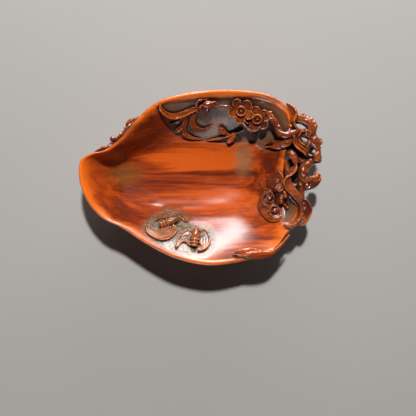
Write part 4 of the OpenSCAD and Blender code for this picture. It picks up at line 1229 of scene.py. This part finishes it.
class CARVE_OT_outside(CarveOperator, bpy.types.Operator):
    """Carve the twigs, leaves and buds on the outer wall"""

    bl_idname = "carve.outside"
    bl_label = "Outer Wall"

    def build(self, dish, bowl):
        fine = dish.skin / MM
        out = bowl.outside
        carve("side twig", "side_twig", "branch_wood", [
            limbs([[[-74, 14.4, 27, 0.6], [-69, 18.3, 27, 1], [-64.5, 20.1, 27, 1.3], [-61, 22, 26.6, 1.2],
                    [-58, 24.4, 26, 1.3], [-55, 27.3, 26, 1.4], [-52.5, 29.8, 26, 1.3],
                    [-50, 32.6, 26, 1.3], [-47.2, 36.2, 25.6, 1.3], [-43.6, 39.4, 24, 1.5],
                    *out([[128, 0.84, 1.4, 1.7]]),
                    *out([[120, 0.8, 1.2, 1.8]])],
                   [[-58, 25, 26, 1.2], [-58.6, 26.3, 26.6, 1]],
                   [[-50, 33, 26, 1.3], [-51.4, 34.4, 27, 0.6]]]),
            blade([[-50.4, 33.6, 27, -51, 33.8, 26.4], [-48.2, 36.4, 28, -50.2, 37, 26.6],
                   [-46.2, 38.6, 28, -48, 39.6, 26.6], [-44.4, 40.2, 27, -44.8, 40.6, 26.4]], 0.1, 2)], fine)
        carve("side beads", "side_beads", "flower_wood", [
            beads([ball(-58.9, 26.2, 27, 2.1), ball(-53.6, 29.6, 27.4, 1.2), ball(-65.6, 20.8, 27, 1.1)])],
            fine)
        self.buds("back buds", "back_buds", bowl,
                  [(93, 0.37, 1.4), (121, 0.85, 2), (66, 0.7, 1.4), (-103, 0.74, 1.4)], 2.3, fine)
        carve("serrated leaf", "serrated_leaf", "leaf_wood", [
            limbs([out([[-32, 0.95, 0.4, 0.6], [-36, 0.94, 1.2, 2.2], [-42, 0.93, 1.4, 3],
                        [-48, 0.93, 1.2, 2.6], [-54, 0.92, 0.8, 1.2], [-59, 0.9, 0.4, 0.3]])], 0.45, 0.7),
            beads([ball(*bowl.outer_point(a, 0.985, 1.1), 1.1) for a in range(-53, -34, 3)]),
            limbs([out([[-32, 0.95, 1.8, 0.5], [-44, 0.93, 2, 0.6], [-57, 0.91, 1, 0.3]])])], fine)
        carve("back branch", "back_branch", "branch_wood", [
            limbs([out([[24, 0.92, 1, 2.6], [32, 0.84, 1.4, 3], [42, 0.73, 1.6, 2.6], [55, 0.61, 1.6, 2.7],
                        [66, 0.55, 1.6, 2.3], [78, 0.56, 1.6, 2.3], [90, 0.6, 1.6, 2], [105, 0.7, 1.6, 1.9],
                        [120, 0.8, 1.4, 1.8]]),
                   out([[70, 0.55, 1.2, 1.8], [80, 0.43, 1.2, 1.3], [92, 0.37, 1, 0.9]]),
                   out([[60, 0.58, 1.4, 1.6], [66, 0.69, 1.4, 1]])], 0.9),
            beads([ball(*bowl.outer_point(a, v, 2.6), 1.5) for a, v in ((36, 0.8), (50, 0.66), (84, 0.58))])],
            fine)
        carve("front branch", "front_branch", "branch_wood", [
            limbs([out([[-20, 0.93, 0.8, 2.2], [-30, 0.8, 1.4, 2.5], [-42, 0.67, 1.6, 2.2],
                        [-56, 0.58, 1.6, 2.2], [-72, 0.55, 1.5, 1.8], [-88, 0.61, 1.3, 1.4],
                        [-102, 0.72, 1, 0.9]])], 0.9),
            beads([ball(*bowl.outer_point(a, v, 2.4), 1.3) for a, v in ((-36, 0.74), (-64, 0.56))])], fine)
        self.leaves("back leaves", "back_leaves", bowl,
                    [(50, 0.6, 58, 0.82), (84, 0.58, 78, 0.84), (100, 0.68, 112, 0.5)], fine)
        self.leaves("front leaves", "front_leaves", bowl,
                    [(-46, 0.62, -56, 0.82), (-74, 0.55, -84, 0.4), (-88, 0.62, -80, 0.82)], fine)

    def buds(self, name, node, bowl, spots, r, fine):
        """Round buds, each in a low collar."""
        rows = [bowl.outer_point(*p) for p in spots]
        carve(name, node, "flower_wood", [
            beads([ball(*p, r * 0.95) for p in rows]),
            limbs([hoop((p[0], p[1], p[2] + 0.3), r * 0.8, r * 0.22) for p in rows], steps=1)], fine)

    def leaves(self, name, node, bowl, spots, fine):
        """Leaves from one angle and share of the wall to another, each with its rib."""
        blades, ribs = [], []
        for a, v, b, w in spots:
            shares = [0, 0.3, 0.65, 1]
            line = [(a + (b - a) * s, v + (w - v) * s) for s in shares]
            blades.append(bowl.outside([[*p, h, r] for p, h, r in zip(
                line, (0.6, 1.1, 1.1, 0.4), (0.8, 2.9, 2.6, 0.3))]))
            ribs.append(bowl.outside([[*p, h, r] for p, h, r in zip(
                line, (1.4, 2, 1.9, 0.6), (0.8, 0.6, 0.5, 0.25))]))
        carve(name, node, "leaf_wood", [limbs(blades, 0.45, 0.6), limbs(ribs)], fine)


class CARVE_OT_stage(CarveOperator, bpy.types.Operator):
    """Set up the plain floor, the soft lights and the camera"""

    bl_idname = "carve.stage"
    bl_label = "Floor, Lights and Camera"

    def build(self, dish, bowl):
        scene = bpy.context.scene
        floor = bpy.data.objects.new("floor", mesh_of(
            "floor", [(-3, -3, 0), (3, -3, 0), (3, 3, 0), (-3, 3, 0)], [(0, 1, 2, 3)]))
        scene.collection.objects.link(floor)
        paint = bpy.data.materials.new("floor paint")
        paint.use_nodes = True
        t = Tree(paint.node_tree)
        here = t.node("ShaderNodeTexCoord", out=3)
        cloudy = noise(t, here, 120, 120, 2)
        colour = t.mix(cloudy, list(dish.floor_colour) + [1.0], [c * 0.94 for c in dish.floor_colour] + [1.0])
        t.node("ShaderNodeOutputMaterial", {}, {0: t.node("ShaderNodeBsdfPrincipled", {}, {
            "Base Color": colour, "Roughness": 0.7})})
        floor.data.materials.append(paint)
        world = bpy.data.worlds.new("studio")
        scene.world = world
        world.use_nodes = True
        t = Tree(world.node_tree)
        sky = t.node("ShaderNodeBackground", {}, {"Color": (1.0, 0.96, 0.92, 1.0), "Strength": 0.018})
        t.node("ShaderNodeOutputWorld", {}, {0: sky})
        scene.view_settings.view_transform = "Standard"
        self.lamp("key", (0.05, 0.62, 1.15), (0.08, 0.08), 20, shine=False)
        self.lamp("sparkle", (-0.02, 0.66, 1.12), (0.1, 0.1), 9, shade=False)
        self.lamp("window", (0.18, 1.15, 0.3), (1.2, 0.36), 4)
        self.lamp("sheen", (0.12, 1.1, 0.27), (1.2, 0.36), 22, shade=False)
        self.lamp("low sheen", (-0.5, -1.05, 0.36), (1.2, 0.42), 8, shade=False)
        self.lamp("fill", (-0.3, -1.1, 0.06), (1.0, 0.09), 1.6)
        camera = bpy.data.cameras.new("camera")
        eye = bpy.data.objects.new("camera", camera)
        scene.collection.objects.link(eye)
        camera.sensor_width = 36
        camera.lens = FOCAL_LENGTH
        eye.location = [c * MM for c in EYE]
        scene.camera = eye

    def lamp(self, name, place, size, power, shade=True, shine=True):
        """A soft box aimed at the dish; it can be left out of the shading or of the wax's shine."""
        light = bpy.data.lights.new(name, "AREA")
        light.shape = "RECTANGLE"
        light.size, light.size_y = size
        light.energy = power
        lamp = bpy.data.objects.new(name, light)
        lamp.visible_diffuse = shade
        lamp.visible_glossy = shine
        bpy.context.scene.collection.objects.link(lamp)
        lamp.location = place
        aim = -lamp.location.normalized()
        lamp.rotation_euler = aim.to_track_quat("-Z", "Y").to_euler()


class CARVE_PT_panel(bpy.types.Panel):
    """Sidebar panel with the settings and steps of the carving."""

    bl_label = "Carved Dish"
    bl_space_type = "VIEW_3D"
    bl_region_type = "UI"
    bl_category = "Carving"

    def draw(self, context):
        for name in DishSettings.__annotations__:
            self.layout.prop(context.scene.carved_dish, name)
        for step in STEPS:
            self.layout.operator(step.bl_idname)


STEPS = (CARVE_OT_stage, CARVE_OT_wood, CARVE_OT_bowl, CARVE_OT_leaves, CARVE_OT_flowers,
         CARVE_OT_branches, CARVE_OT_fungi, CARVE_OT_bats, CARVE_OT_outside)
CLASSES = (DishSettings, *STEPS, CARVE_PT_panel)


def register():
    for cls in CLASSES:
        bpy.utils.register_class(cls)
    bpy.types.Scene.carved_dish = bpy.props.PointerProperty(type=DishSettings)


def unregister():
    del bpy.types.Scene.carved_dish
    for cls in reversed(CLASSES):
        bpy.utils.unregister_class(cls)


def main():
    register()
    for step in STEPS:
        getattr(bpy.ops.carve, step.bl_idname.split(".")[1])()


if __name__ == "__main__":
    main()
